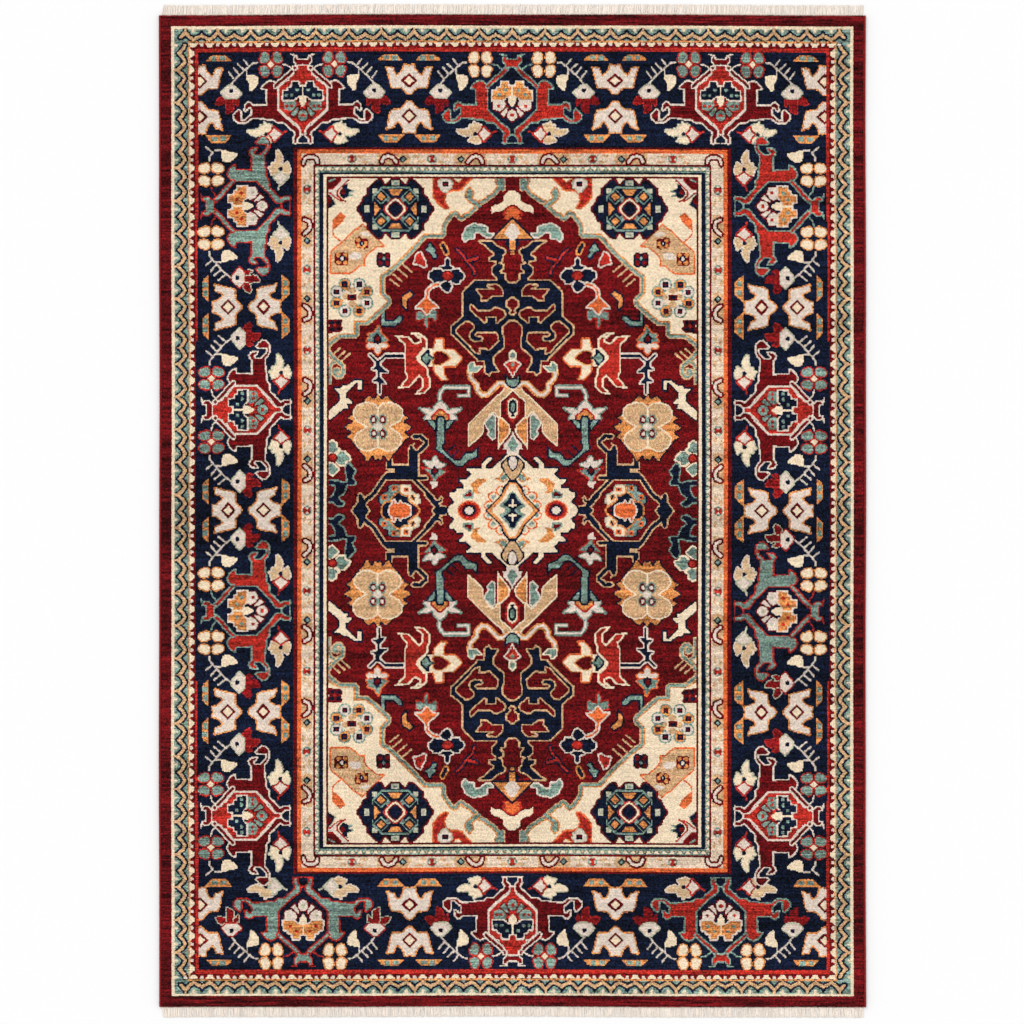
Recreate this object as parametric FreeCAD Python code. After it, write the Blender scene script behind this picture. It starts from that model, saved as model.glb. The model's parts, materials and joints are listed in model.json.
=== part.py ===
"""Power-loomed area rug: a woven foundation, cut pile in four pattern zones, overcast
sides and fringed ends. Every piece is a solid of its own, in millimetres.

The rug lies flat. X runs across its width, Y along its length and Z up. The origin is
the middle of its underside.
"""
import FreeCAD, Part
import os

from FreeCAD import Vector

# Overall size.
RUG_WIDTH = 1600.0
PILE_LENGTH = 2244.0
FOUNDATION_THICKNESS = 3.0
PILE_HEIGHT = 8.0

# Pattern zones of the pile, as depths in from the rug's sides and from the pile's ends.
EDGE_BAND_SIDE = 27.6
EDGE_BAND_END = 23.3
OUTER_GUARD_SIDE = 91.1
OUTER_GUARD_END = 83.9
MAIN_BORDER_SIDE = 304.2
MAIN_BORDER_END = 300.8

# Overcast sides: a bundle of outer warps inside a wrapping of yarn.
SELVEDGE_WIDTH = 6.0
SELVEDGE_HEIGHT = 9.0
SELVEDGE_CORD_DIAMETER = 3.6

# Ends: a strip of plain weave, a row of locking stitch on it, then the fringe.
END_WEB_WIDTH = 4.0
END_WEB_THICKNESS = 2.6
STITCH_DIAMETER = 1.2
FRINGE_LENGTH = 21.0
STRAND_DIAMETER = 2.4
STRAND_PITCH = 8.0

HALF_WIDTH = RUG_WIDTH / 2
HALF_PILE_LENGTH = PILE_LENGTH / 2
HALF_GROUND_WIDTH = HALF_WIDTH - SELVEDGE_WIDTH
GROUND_WIDTH = 2 * HALF_GROUND_WIDTH
STITCH_OVERHANG = 2.0

SIDES = {"left": -1, "right": 1}
ENDS = {"top": 1, "bottom": -1}


def write_node(name, shape):
    """Write one node's solid, or its group of separate solids, as a STEP file."""
    shape.exportStep(os.path.join("parts", name + ".step"))


def centred_slab(width, length, bottom, thickness):
    """A rectangular slab with the origin under its middle."""
    corner = Vector(-width / 2, -length / 2, bottom)
    return Part.makeBox(width, length, thickness, corner)


def ring_bars(outer_x, outer_y, inner_x, inner_y):
    """Four slabs of pile round a rectangle. Each pair is given by its half sizes."""
    side_width = outer_x - inner_x
    end_depth = outer_y - inner_y
    base = FOUNDATION_THICKNESS
    bars = []
    for x in (-outer_x, inner_x):
        corner = Vector(x, -inner_y, base)
        bars.append(Part.makeBox(side_width, 2 * inner_y, PILE_HEIGHT, corner))
    for y in (-outer_y, inner_y):
        corner = Vector(-outer_x, y, base)
        bars.append(Part.makeBox(2 * outer_x, end_depth, PILE_HEIGHT, corner))
    return Part.makeCompound(bars)


def make_foundation():
    """The woven ground that holds every tuft: warps along Y, wefts along X."""
    slab = centred_slab(GROUND_WIDTH, PILE_LENGTH, 0.0, FOUNDATION_THICKNESS)
    write_node("foundation_weave", slab)


def make_pile():
    """The cut pile: three rings of border, and the field inside them."""
    edges_x = [HALF_GROUND_WIDTH]
    edges_y = [HALF_PILE_LENGTH]
    depths = [
        ("pile_edge_band", EDGE_BAND_SIDE, EDGE_BAND_END),
        ("pile_outer_guard", OUTER_GUARD_SIDE, OUTER_GUARD_END),
        ("pile_main_border", MAIN_BORDER_SIDE, MAIN_BORDER_END),
    ]
    for name, side_depth, end_depth in depths:
        edges_x.append(HALF_WIDTH - side_depth)
        edges_y.append(HALF_PILE_LENGTH - end_depth)
        write_node(name, ring_bars(edges_x[-2], edges_y[-2], edges_x[-1], edges_y[-1]))
    field = centred_slab(2 * edges_x[-1], 2 * edges_y[-1], FOUNDATION_THICKNESS, PILE_HEIGHT)
    write_node("pile_field", field)


def selvedge_section():
    """Outline of the right wrapping in the XZ plane: flat inside, bowed outside."""
    inner = Vector(HALF_GROUND_WIDTH, 0, 0)
    crown = Vector(HALF_WIDTH, 0, SELVEDGE_HEIGHT / 2)
    top = Vector(HALF_GROUND_WIDTH, 0, SELVEDGE_HEIGHT)
    shoulder = SELVEDGE_WIDTH / 4
    low_shoulder = inner + Vector(shoulder, 0, 0)
    high_shoulder = top + Vector(shoulder, 0, 0)
    edges = [
        Part.makeLine(inner, low_shoulder),
        Part.Arc(low_shoulder, crown, high_shoulder).toShape(),
        Part.makeLine(high_shoulder, top),
        Part.makeLine(top, inner),
    ]
    return Part.Face(Part.Wire(edges))


def make_selvedges():
    """The cord of outer warps and the yarn wrapping round it, on each long side."""
    cord_centre = Vector(HALF_WIDTH - SELVEDGE_WIDTH / 2, -HALF_PILE_LENGTH, SELVEDGE_HEIGHT / 2)
    cord = Part.makeCylinder(SELVEDGE_CORD_DIAMETER / 2, PILE_LENGTH, cord_centre, Vector(0, 1, 0))
    section = selvedge_section()
    section.translate(Vector(0, -HALF_PILE_LENGTH, 0))
    wrapping = section.extrude(Vector(0, PILE_LENGTH, 0)).cut(cord)
    mirror_plane = Vector(1, 0, 0)
    for side, sign in SIDES.items():
        for name, shape in (("selvedge_cord_", cord), ("selvedge_wrap_", wrapping)):
            placed = shape if sign > 0 else shape.mirror(Vector(0, 0, 0), mirror_plane)
            write_node(name + side, placed)


def make_end_web(end, sign):
    """The flat strip of plain weave past the last row of pile."""
    near = HALF_PILE_LENGTH if sign > 0 else -HALF_PILE_LENGTH - END_WEB_WIDTH
    corner = Vector(-HALF_GROUND_WIDTH, near, 0)
    web = Part.makeBox(GROUND_WIDTH, END_WEB_WIDTH, END_WEB_THICKNESS, corner)
    write_node("end_web_" + end, web)


def make_end_stitch(end, sign):
    """The locking stitch, a half-round thread laid along the top of the strip."""
    length = GROUND_WIDTH - 2 * STITCH_OVERHANG
    centre = Vector(-length / 2, sign * (HALF_PILE_LENGTH + END_WEB_WIDTH / 2), END_WEB_THICKNESS)
    thread = Part.makeCylinder(STITCH_DIAMETER / 2, length, centre, Vector(1, 0, 0))
    lower_half = Part.makeBox(
        length + STITCH_DIAMETER,
        2 * STITCH_DIAMETER,
        STITCH_DIAMETER,
        centre - Vector(STITCH_DIAMETER / 2, STITCH_DIAMETER, STITCH_DIAMETER),
    )
    write_node("end_stitch_" + end, thread.cut(lower_half))


def make_fringe(end, sign):
    """The fringe: separate twisted strands, side by side on the ground."""
    count = int(GROUND_WIDTH // STRAND_PITCH)
    start = sign * (HALF_PILE_LENGTH + END_WEB_WIDTH)
    strands = []
    for index in range(count):
        x = (index - (count - 1) / 2) * STRAND_PITCH
        root = Vector(x, start, STRAND_DIAMETER / 2)
        strand = Part.makeCylinder(STRAND_DIAMETER / 2, FRINGE_LENGTH, root, Vector(0, sign, 0))
        strands.append(strand)
    write_node("fringe_" + end, Part.makeCompound(strands))


def make_ends():
    """The strip, stitch and fringe at each end of the rug."""
    for end, sign in ENDS.items():
        make_end_web(end, sign)
        make_end_stitch(end, sign)
        make_fringe(end, sign)


os.makedirs("parts", exist_ok=True)
make_foundation()
make_pile()
make_selvedges()
make_ends()
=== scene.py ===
"""Power-loomed area rug: the looks. The pile is knotted from a chart that is drawn with mirrored
motifs, and every yarn part is meshed here. Lengths are metres, except on the chart, where they are
knots. One knot is one tuft of this model. Its spacing, about 2.26 mm, was chosen for the drawing
and is not the real rug's tuft spacing, which is not known."""
import json
import math

import bpy
import numpy as np
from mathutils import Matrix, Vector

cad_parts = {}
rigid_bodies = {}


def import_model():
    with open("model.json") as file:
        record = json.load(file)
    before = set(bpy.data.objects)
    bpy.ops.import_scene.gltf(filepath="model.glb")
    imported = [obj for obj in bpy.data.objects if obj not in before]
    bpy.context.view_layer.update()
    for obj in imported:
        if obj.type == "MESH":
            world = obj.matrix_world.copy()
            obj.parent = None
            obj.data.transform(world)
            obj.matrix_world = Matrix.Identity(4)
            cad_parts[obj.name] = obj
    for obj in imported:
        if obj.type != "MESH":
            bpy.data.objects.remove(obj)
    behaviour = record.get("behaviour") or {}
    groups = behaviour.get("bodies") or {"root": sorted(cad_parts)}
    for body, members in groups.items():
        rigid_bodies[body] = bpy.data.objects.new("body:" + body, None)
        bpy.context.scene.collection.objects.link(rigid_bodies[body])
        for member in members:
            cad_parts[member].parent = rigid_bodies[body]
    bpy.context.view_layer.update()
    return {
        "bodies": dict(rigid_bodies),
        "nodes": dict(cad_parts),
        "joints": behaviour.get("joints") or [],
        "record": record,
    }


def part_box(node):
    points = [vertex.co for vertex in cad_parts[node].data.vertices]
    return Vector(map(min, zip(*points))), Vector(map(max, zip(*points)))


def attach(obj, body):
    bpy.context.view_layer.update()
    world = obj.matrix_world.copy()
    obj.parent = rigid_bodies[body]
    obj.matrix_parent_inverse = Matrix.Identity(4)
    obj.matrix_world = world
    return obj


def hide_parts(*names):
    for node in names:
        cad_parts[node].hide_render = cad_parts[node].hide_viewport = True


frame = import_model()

# ---- Chart ----

ROWS = 992
COLUMNS = 702
HALF_ROWS = ROWS // 2
HALF_COLUMNS = COLUMNS // 2

# Yarn colours, as they look on screen (sRGB, 0 to 255).
YARNS = {
    "maroon": (91, 15, 18),
    "red": (156, 40, 32),
    "orange": (206, 97, 52),
    "gold": (198, 126, 71),
    "tan": (196, 157, 117),
    "cream": (228, 207, 177),
    "ivory": (213, 196, 181),
    "teal": (112, 134, 123),
    "pale": (176, 173, 150),
    "navy": (15, 21, 37),
    "crimson": (118, 22, 24),
    "straw": (202, 170, 132),
    "bone": (194, 180, 168),
    "oat": (215, 192, 168),
    "edge": (84, 16, 19),
}
NAMES = list(YARNS)
INDEX = {name: number for number, name in enumerate(NAMES)}


class Pen:
    """Draws on the chart in knots. Each frame is an origin, a u axis and a v axis, and every
    shape is drawn once in each frame, so one call draws all the mirrored copies."""

    def __init__(self, chart, frames):
        self.chart = chart
        self.frames = frames

    def at(self, u, v, turn=0, mirror=False):
        """A pen whose origin is (u, v) here, turned by quarter turns, or mirrored as well."""
        cos, sin = [(1, 0), (0, 1), (-1, 0), (0, -1)][turn % 4]
        frames = []
        for ox, oy, ux, uy, vx, vy in self.frames:
            x = ox + u * ux + v * vx
            y = oy + u * uy + v * vy
            new_u = (cos * ux + sin * vx, cos * uy + sin * vy)
            new_v = (-sin * ux + cos * vx, -sin * uy + cos * vy)
            frames.append((x, y, *new_u, *new_v))
            if mirror:
                frames.append((x, y, -new_u[0], -new_u[1], *new_v))
        return Pen(self.chart, frames)

    def cells(self, points, grow):
        """For each frame: the outline on the chart, and the window of cells around it."""
        outline = np.asarray(points, float)
        for ox, oy, ux, uy, vx, vy in self.frames:
            x = ox + outline[:, 0] * ux + outline[:, 1] * vx
            y = oy + outline[:, 0] * uy + outline[:, 1] * vy
            left = max(int(math.floor(x.min() - grow)) + HALF_COLUMNS, 0)
            right = min(int(math.ceil(x.max() + grow)) + HALF_COLUMNS, COLUMNS)
            low = max(int(math.floor(y.min() - grow)) + HALF_ROWS, 0)
            high = min(int(math.ceil(y.max() + grow)) + HALF_ROWS, ROWS)
            if left >= right or low >= high:
                continue
            grid_x, grid_y = np.meshgrid(
                np.arange(left, right) + 0.5 - HALF_COLUMNS,
                np.arange(low, high) + 0.5 - HALF_ROWS,
            )
            yield self.chart[low:high, left:right], x, y, grid_x, grid_y

    def area(self, colour, points, edge=None, width=1.5):
        """A filled outline, with an edge of another colour outside it if one is named. Every
        copy's edge goes down before any fill, so mirrored halves join with no line between."""
        if edge:
            for window, x, y, grid_x, grid_y in self.cells(points, width):
                near = distance_to_line(np.append(x, x[0]), np.append(y, y[0]), grid_x, grid_y)
                window[near <= width] = INDEX[edge]
        for window, x, y, grid_x, grid_y in self.cells(points, 0):
            window[inside_outline(x, y, grid_x, grid_y)] = INDEX[colour]

    def line(self, colour, points, width=1.5):
        """An open line of the given width."""
        for window, x, y, grid_x, grid_y in self.cells(points, width):
            near = distance_to_line(x, y, grid_x, grid_y)
            window[near <= width / 2] = INDEX[colour]

    def figure(self, colour, edge, rim, areas=(), lines=()):
        """Several joined areas and lines of one colour with one shared edge round them all."""
        for points in areas:
            self.area(edge, points, edge, rim)
        for points, width in lines:
            self.line(edge, points, width + 2 * rim)
        for points in areas:
            self.area(colour, points)
        for points, width in lines:
            self.line(colour, points, width)

    def dot(self, colour, u, v, half_u, half_v=None, edge=None, width=1.5):
        """A filled ellipse."""
        half_v = half_v or half_u
        turns = [math.tau * step / 20 for step in range(20)]
        points = [(u + half_u * math.cos(t), v + half_v * math.sin(t)) for t in turns]
        self.area(colour, points, edge, width)

    def diamond(self, colour, u, v, half_u, half_v=None, edge=None, width=1.5):
        """A filled diamond."""
        half_v = half_v or half_u
        points = [(u - half_u, v), (u, v + half_v), (u + half_u, v), (u, v - half_v)]
        self.area(colour, points, edge, width)

    def box(self, colour, u0, v0, u1, v1):
        """A filled upright rectangle."""
        self.area(colour, [(u0, v0), (u1, v0), (u1, v1), (u0, v1)])


def inside_outline(x, y, grid_x, grid_y):
    """Which cells lie inside a closed outline, by counting the edges to one side."""
    inside = np.zeros(grid_x.shape, bool)
    for x0, y0, x1, y1 in zip(x, y, np.roll(x, -1), np.roll(y, -1)):
        if y0 == y1:
            continue
        crosses = (grid_y >= min(y0, y1)) & (grid_y < max(y0, y1))
        at_x = x0 + (grid_y - y0) * (x1 - x0) / (y1 - y0)
        inside ^= crosses & (grid_x < at_x)
    return inside


def distance_to_line(x, y, grid_x, grid_y):
    """Distance from each cell to the nearest point of a line."""
    nearest = np.full(grid_x.shape, np.inf)
    for x0, y0, x1, y1 in zip(x[:-1], y[:-1], x[1:], y[1:]):
        run_x, run_y = x1 - x0, y1 - y0
        length = run_x * run_x + run_y * run_y or 1.0
        along = ((grid_x - x0) * run_x + (grid_y - y0) * run_y) / length
        along = np.clip(along, 0, 1)
        gap = np.hypot(grid_x - x0 - along * run_x, grid_y - y0 - along * run_y)
        nearest = np.minimum(nearest, gap)
    return nearest


# Borders, as nested rectangles: half sizes in knots across and along. The outer ones lie
# round the main border and the inner ones inside it.
OUTER_BANDS = [
    ("edge", 354, 496),
    ("cream", 340.8, 485.1),
    ("tan", 338.2, 482.5),
    ("gold", 323.4, 469.3),
    ("maroon", 322.4, 468.2),
    ("red", 317.4, 463.3),
]
MAIN_BORDER = (314, 459)
# The main border is a little wider half way up its long sides: half width, half length.
WIDE_PARTS = [(315, 290), (317, 170)]
INNER_BANDS = [
    ("maroon", 219.2, 363),
    ("orange", 215.4, 360.6),
    ("oat", 211.4, 357.1),
    ("maroon", 199.3, 345.6),
    ("teal", 197.2, 343.9),
    ("navy", 192.6, 338.1),
    ("cream", 188.8, 335.6),
    ("maroon", 186, 334),
]
FIELD = (184, 332)


def paint_bands(pen, bands):
    """The plain ground of nested borders."""
    for colour, half_x, half_y in bands:
        pen.box(colour, -half_x, -half_y, half_x, half_y)


def window(half_x, half_y):
    """Which knots are inside a rectangle round the middle."""
    x = abs(np.arange(COLUMNS) + 0.5 - HALF_COLUMNS)
    y = abs(np.arange(ROWS) + 0.5 - HALF_ROWS)
    return (x[None, :] < half_x) & (y[:, None] < half_y)


def central_medallion(pen):
    """The serrated cream star in the middle, with its hooks, rings and inner lozenge."""
    star = [
        (0, 57), (5, 56.5), (20.5, 42), (26.5, 41.5), (26.5, 45.5), (21.3, 50.8), (21.3, 52.5),
        (25, 52.8), (30.6, 46.5), (30.8, 42), (45.5, 41.8), (45.5, 40.5), (41, 36.5), (46.5, 31),
        (53, 31), (53.5, 30), (48.5, 25.5), (48.5, 22.3), (55.5, 22), (58, 18), (62.5, 17.5),
        (62.5, 14.5), (58, 8.5), (64, 3.5), (65, 0), (0, 0),
    ]
    pen.area("cream", star, "navy", 1.8)
    pen.area("ivory", [(0, 81), (1, 76), (3, 73), (9, 66), (9, 63), (10.5, 61), (6, 61), (5.5, 57), (0, 56)])
    pen.area("teal", [(0, 75), (2, 70.5), (5, 66.5), (5, 64.5), (3, 63), (2.5, 60), (0, 59)])
    pen.area("gold", [
        (26, 30.5), (27.5, 32.5), (35, 32.3), (41.5, 27), (42, 24.5), (40, 22), (39.5, 18.3),
        (36, 17), (32.5, 17), (31.5, 18), (34.5, 19), (34.5, 22.5), (33, 24.5),
    ])
    pen.area("maroon", [(42.3, 19.5), (48.3, 15.5), (48.3, 14), (41, 14), (40.5, 16)], "teal", 1.6)
    ring_u = 43.5
    pen.dot("orange", ring_u, 0, 11.8, 10)
    pen.dot("red", ring_u, 0, 10.4, 8.8)
    pen.dot("maroon", ring_u, 0, 7.6, 6.6)
    pen.dot("navy", ring_u, 0, 6.3, 5.6)
    pen.dot("ivory", ring_u, 0, 4.4, 3.8)
    pen.area("navy", [
        (0, 55.5), (1, 54.3), (3, 55.3), (6.5, 53.3), (11.6, 47.5), (11.8, 42.5), (9.5, 39.5),
        (5.5, 33), (3, 29.5), (0, 28.5),
    ])
    pen.area("tan", [
        (5.8, 50), (6.3, 51.5), (10, 46.8), (10, 44), (8.3, 40.5), (6, 36.5), (3.5, 33),
        (0, 30.3), (0, 38), (2, 40.5), (4, 43), (5, 46),
    ])
    pen.area("ivory", [(0, 54), (2, 53.5), (3.8, 50.5), (4, 46), (2.5, 42.5), (0, 41)])
    pen.area("teal", [(6, 34.5), (8.5, 36.3), (10.5, 35.5), (13, 31), (12, 29.5), (9, 30.5), (6, 31.5)])
    pen.line("gold", [(9.5, 38), (13.5, 33), (17.5, 31.5), (13.5, 31)], 1.6)
    pen.line("gold", [(5.5, 31), (10, 28.8), (12.5, 30)], 1.4)
    pen.area("navy", [
        (0, 30), (4, 30.5), (5.5, 28), (10, 23), (11.5, 17), (15, 12), (22, 5.5), (27, 0), (0, 0),
    ])
    pen.area("gold", [(0, 28), (3.5, 27.5), (8.5, 21), (10, 16.5), (14, 11), (19, 6.5), (25, 0), (0, 0)])
    pen.area("cream", [
        (0, 26.5), (3, 25.5), (6.5, 18.5), (10, 12), (14, 7.5), (19.5, 2.5), (20.5, 0), (0, 0),
    ])
    pen.area("teal", [
        (0, 19), (3, 17.5), (5.5, 12.5), (9, 9), (13, 5), (12, 3.5), (8, 1.5), (7.5, 0), (0, 0),
    ])
    pen.area("navy", [(0, 17.5), (2, 17), (4, 11.5), (9.5, 6), (5, 3.6), (2.6, 1), (1.6, 0), (0, 0)])
    pen.line("cream", [(0, 4), (0, 10.5)], 1.7)
    pen.line("cream", [(0, 5), (3, 5)], 2)
    pen.line("orange", [(10.5, 24), (13, 24.5), (16, 21.5), (16.5, 18.5), (14, 15.5)], 1.5)
    pen.line("orange", [(16, 18), (20, 18.5), (24, 16.5), (24, 13), (21, 9)], 1.5)
    pen.line("orange", [(20.5, 9.5), (25.5, 9), (28.5, 6.5), (28.5, 3.5), (26.5, 2)], 1.5)
    pen.area("pale", [(10.5, 23), (13.3, 20.5), (13, 17), (11.5, 17.5)])
    pen.area("pale", [(15.5, 14), (18, 16.5), (22, 15.5), (22, 12.5), (19.5, 10), (17, 12)])
    pen.area("teal", [(16, 14), (18.5, 14.5), (21.5, 13), (19.5, 10.5)])
    pen.area("teal", [(22, 6), (25, 7), (26.8, 5), (25.5, 3), (23.8, 3.5)])


def butterfly(pen):
    """The beige winged palmette above the medallion, with its gold and teal quarters."""
    pen.area("tan", [
        (0, 121), (3, 121), (8, 122), (10, 118.5), (23, 107), (44, 86), (44, 65.5), (35.5, 72.8),
        (32, 76), (30.5, 79), (30.3, 86), (23.5, 96.5), (20, 99.5), (17, 97.5), (14, 93.5),
        (13, 95), (13.2, 109.5), (6, 115.5), (0, 121),
    ], "cream", 1.4)
    pen.area("gold", [
        (4, 85), (11, 91.5), (13.5, 92), (14, 90), (13.5, 66), (12, 67.5), (4.5, 77), (3.8, 79),
    ], "cream", 1.4)
    pen.line("cream", [(13.6, 67), (14.4, 62)], 1.6)
    pen.area("teal", [
        (18, 90), (18, 93), (20, 95.5), (23, 93), (26.5, 89), (27, 85.5), (24, 81.5), (22.8, 78),
        (25, 76.5), (20.5, 71.5), (18.5, 73),
    ], "ivory", 1.4)
    pen.area("red", [(0, 118), (2.5, 115.5), (6.8, 110), (6.8, 96.5), (2.5, 90), (0, 88)])
    pen.area("cream", [(0, 113.5), (5, 110), (5, 96.5), (2, 92.5), (0, 92)])
    pen.area("navy", [(0, 111), (2.5, 110), (4.2, 106), (3.8, 99.5), (1.2, 96.5), (2, 94), (0, 93.5)])
    pen.area("teal", [(0, 108), (1.5, 107), (2.2, 104), (1.8, 101), (0, 98)])


def bud_stack(pen):
    """The teal cup, red star and pale bud on the butterfly's point, and its ribbons."""
    ribbon = [
        (6, 124.5), (9.5, 127.3), (14, 127.3), (20, 121), (25.5, 116), (31, 115.5),
        (35.5, 120.5), (35.7, 126), (42, 132.5), (43, 139),
    ]
    pen.figure("ivory", "gold", 1.7, lines=[(ribbon, 2.8)])
    pen.area("teal", [
        (31.5, 143.7), (38.5, 143.5), (39, 147.5), (41, 148), (43.5, 145.5), (43.7, 139.5),
        (36.5, 139),
    ], "cream", 1.4)
    pen.area("navy", [(0, 132.7), (1.5, 132), (3.5, 133), (8.3, 137.5), (8.4, 128), (4, 123), (0, 121.8)])
    pen.area("teal", [(0, 131.5), (4.5, 131.5), (6, 134.5), (6.3, 129), (3.5, 125), (0, 124)])
    pen.area("red", [
        (0, 134.5), (1.2, 138.5), (3, 139.5), (3.8, 142), (5.5, 144.5), (7.8, 146), (5, 147.8),
        (3, 149.3), (0, 149.5),
    ], "ivory", 1.4)
    pen.diamond("teal", 0, 145.8, 2, 2.8, "orange", 0.8)
    pen.area("pale", [(0, 160), (2.8, 157), (2.8, 153), (1.5, 151.5), (0, 151.3)], "cream", 1.4)
    pen.area("teal", [(0, 159), (1.7, 156.5), (1.6, 153.5), (0, 152.5)])


def stem_flower(pen):
    """The teal scroll that hangs from a pale tulip, with its hooked stalk above."""
    pen.area("teal", [
        (69, 88), (69.5, 80), (69, 68), (70.5, 66), (70.5, 61), (61, 52), (58, 50), (52, 50.5),
        (46.5, 57.5), (40, 57.5), (36, 61), (36, 54), (40, 52.5), (46, 50), (50.5, 45),
        (54, 44.5), (58, 46.5), (65, 53), (70, 57.5), (75, 60.5), (76.5, 62.5), (75.5, 66),
        (75.5, 79), (79, 83.5), (79, 88),
    ], "navy", 1.6)
    pen.line("navy", [(34.8, 64), (35, 58)], 1.6)
    pen.line("navy", [(58.5, 65), (65.5, 59)], 1.7)
    pen.line("navy", [(54.5, 59.7), (60.5, 54.5)], 1.7)
    hook = [(54, 115), (44, 115), (44, 123.3), (68.5, 123.3), (71, 120.5), (73.3, 116), (73.2, 108)]
    pen.figure("ivory", "teal", 1.3, lines=[(hook, 1.9)])
    tulip = pen.at(72.3, 0, mirror=True)
    tulip.area("ivory", [
        (0, 109.5), (4, 106.5), (6.3, 103.5), (7.3, 99.5), (11.5, 101.5), (21, 102.2), (16.5, 98.5),
        (12.5, 96.5), (16, 92.5), (15.5, 91), (0, 91),
    ], "teal", 1.4)
    tulip.area("red", [(0, 102.3), (2, 102), (6, 98), (9.8, 95), (9.8, 91.3), (0, 91.3)])
    tulip.area("gold", [(0, 100.5), (4.2, 97.2), (7.8, 94), (7.8, 91.3), (0, 91.3)])
    tulip.area("navy", [(0, 94.7), (3.5, 94.7), (4.8, 91.5), (16, 90.8), (12, 86), (6, 79), (0, 79)])
    tulip.area("teal", [(5, 85), (6.5, 88.5), (9, 90), (12.5, 89.5), (9.5, 85.5), (6, 81)])
    tulip.area("teal", [(0, 93.3), (1.5, 93.2), (3, 91.5), (3, 76), (0, 76)])


def small_flower(pen):
    """The ivory lily between the medallion and the side palmette."""
    pen.area("ivory", [
        (75.5, 52), (78, 54.5), (80, 52), (80.5, 48.5), (89.5, 50), (86.5, 46), (84, 43.5),
        (80, 42), (76.5, 43), (71, 43.5), (67, 46), (74, 48.5),
    ], "teal", 1.1)
    pen.area("teal", [
        (67, 39.8), (74, 41.5), (82, 41.5), (88.5, 42.3), (84, 37.5), (80.5, 33), (79.5, 29.5),
        (76.5, 29.5), (76.3, 32.5), (71, 36),
    ])
    pen.line("red", [(64.5, 39.2), (68, 41.3), (74, 41.5)], 1.4)
    pen.line("red", [(66, 38.8), (71, 35), (75.5, 32), (76, 30)], 1.4)
    pen.line("red", [(80.8, 30.5), (83, 35.5), (91.5, 43.3), (82, 41.7)], 1.4)
    pen.area("navy", [
        (74, 40), (76, 43), (78, 45), (80, 43), (82, 40.5), (81.5, 36.5), (78.5, 34), (75.5, 36.5),
    ])
    pen.dot("maroon", 78, 39.5, 2.2, 2.6)
    pen.area("ivory", [(75.2, 29.5), (82.8, 29.3), (83.3, 27.5), (81.2, 25.8), (81.3, 21), (75, 25)])


def side_palmette(pen):
    """The navy lattice at the sides of the medallion, piped with tan, and its flower."""
    frame_areas = [
        [(94.5, 31), (94.5, 57), (98, 60), (101, 65), (102.5, 64.5), (103.5, 61), (103.8, 45.5),
         (120.5, 45.3), (121.5, 51), (125.5, 48.5), (126, 42.5), (117.5, 42), (117.5, 38),
         (126, 37.5), (129, 34), (129.5, 31)],
        [(143.5, 0), (146.5, 4), (148, 8), (150, 15), (152, 17), (154, 16), (154.5, 8), (160.5, 0)],
        [(65.5, 0), (65.5, 2), (67.5, 3.7), (76, 5), (80, 0)],
    ]
    frame_lines = [
        ([(97, 57), (92, 61), (86.8, 66), (86.8, 69.5), (92.5, 74.3), (98.5, 74)], 3.4),
        ([(86.8, 32.8), (97, 32.8)], 2.8),
        ([(99.5, 31.5), (95, 27.5), (90, 22.5), (86.5, 19)], 2.8),
        ([(85, 16.5), (75.5, 5)], 4.8),
        ([(77, 9), (72.3, 9), (71.5, 12.5)], 1.5),
        ([(128, 33), (134.8, 23), (138, 18), (149, 8)], 3.6),
    ]
    pen.figure("navy", "tan", 1.4, frame_areas, frame_lines)
    pen.line("tan", [(118, 40), (125, 40)], 1.2)
    pen.line("tan", [(98, 67), (100.5, 65.5)], 1.4)
    pen.area("navy", [
        (113, 27.2), (121, 27.2), (125.5, 24.5), (126, 19.5), (129, 18.5), (134.8, 13.5),
        (134.8, 8), (131.5, 4.5), (131, 0), (120, 0), (110, 10),
    ])
    pen.area("cream", [
        (103, 25), (112, 24.5), (112.5, 19), (109.5, 16), (105, 15), (103, 9.5), (97, 6),
        (93.5, 8), (94, 15), (99, 16.8), (102, 19),
    ], "pale", 1.3)
    pen.area("teal", [
        (113, 26), (121, 25.5), (124, 24), (124, 19), (129, 17.5), (133.3, 13.5), (133.3, 8.5),
        (130.5, 6.5), (124, 9), (121.5, 12), (118, 17.5), (112, 21),
    ])
    pen.area("navy", [(103, 0), (95, 1), (104, 9), (105.5, 14), (112, 15), (114, 18), (120, 12), (127, 0)])
    pen.area("orange", [
        (102, 0), (103, 4.5), (107, 6.5), (111, 7), (112.3, 9.5), (113.5, 6.8), (117.5, 6.8),
        (118.2, 10.5), (119.3, 10.5), (120.5, 6.2), (122.5, 4), (123.3, 0),
    ], "ivory", 1.5)
    pen.line("gold", [
        (112.7, 25), (113, 19.5), (118, 16), (121.7, 12), (122.5, 8.5), (127, 9.2), (130.5, 5),
        (131.3, 0),
    ], 1.6)
    pen.line("gold", [
        (112.5, 18), (109.5, 15.5), (105, 15), (104, 10.5), (100.5, 7.5), (95, 4), (92.5, 0),
    ], 1.6)
    pen.box("orange", 103.5, 18.8, 109.3, 23.5)
    pen.dot("navy", 106.2, 21, 1.1)
    pen.dot("gold", 100, 13, 2.6, 3.2)
    pen.line("navy", [(98.5, 11), (100.5, 15)], 2.2)
    for u, v in ((118.6, 22.6), (128.2, 13.2)):
        pen.box("orange", u - 2.5, v - 2.5, u + 2.5, v + 2.5)
        pen.dot("navy", u, v, 1.2)


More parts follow.
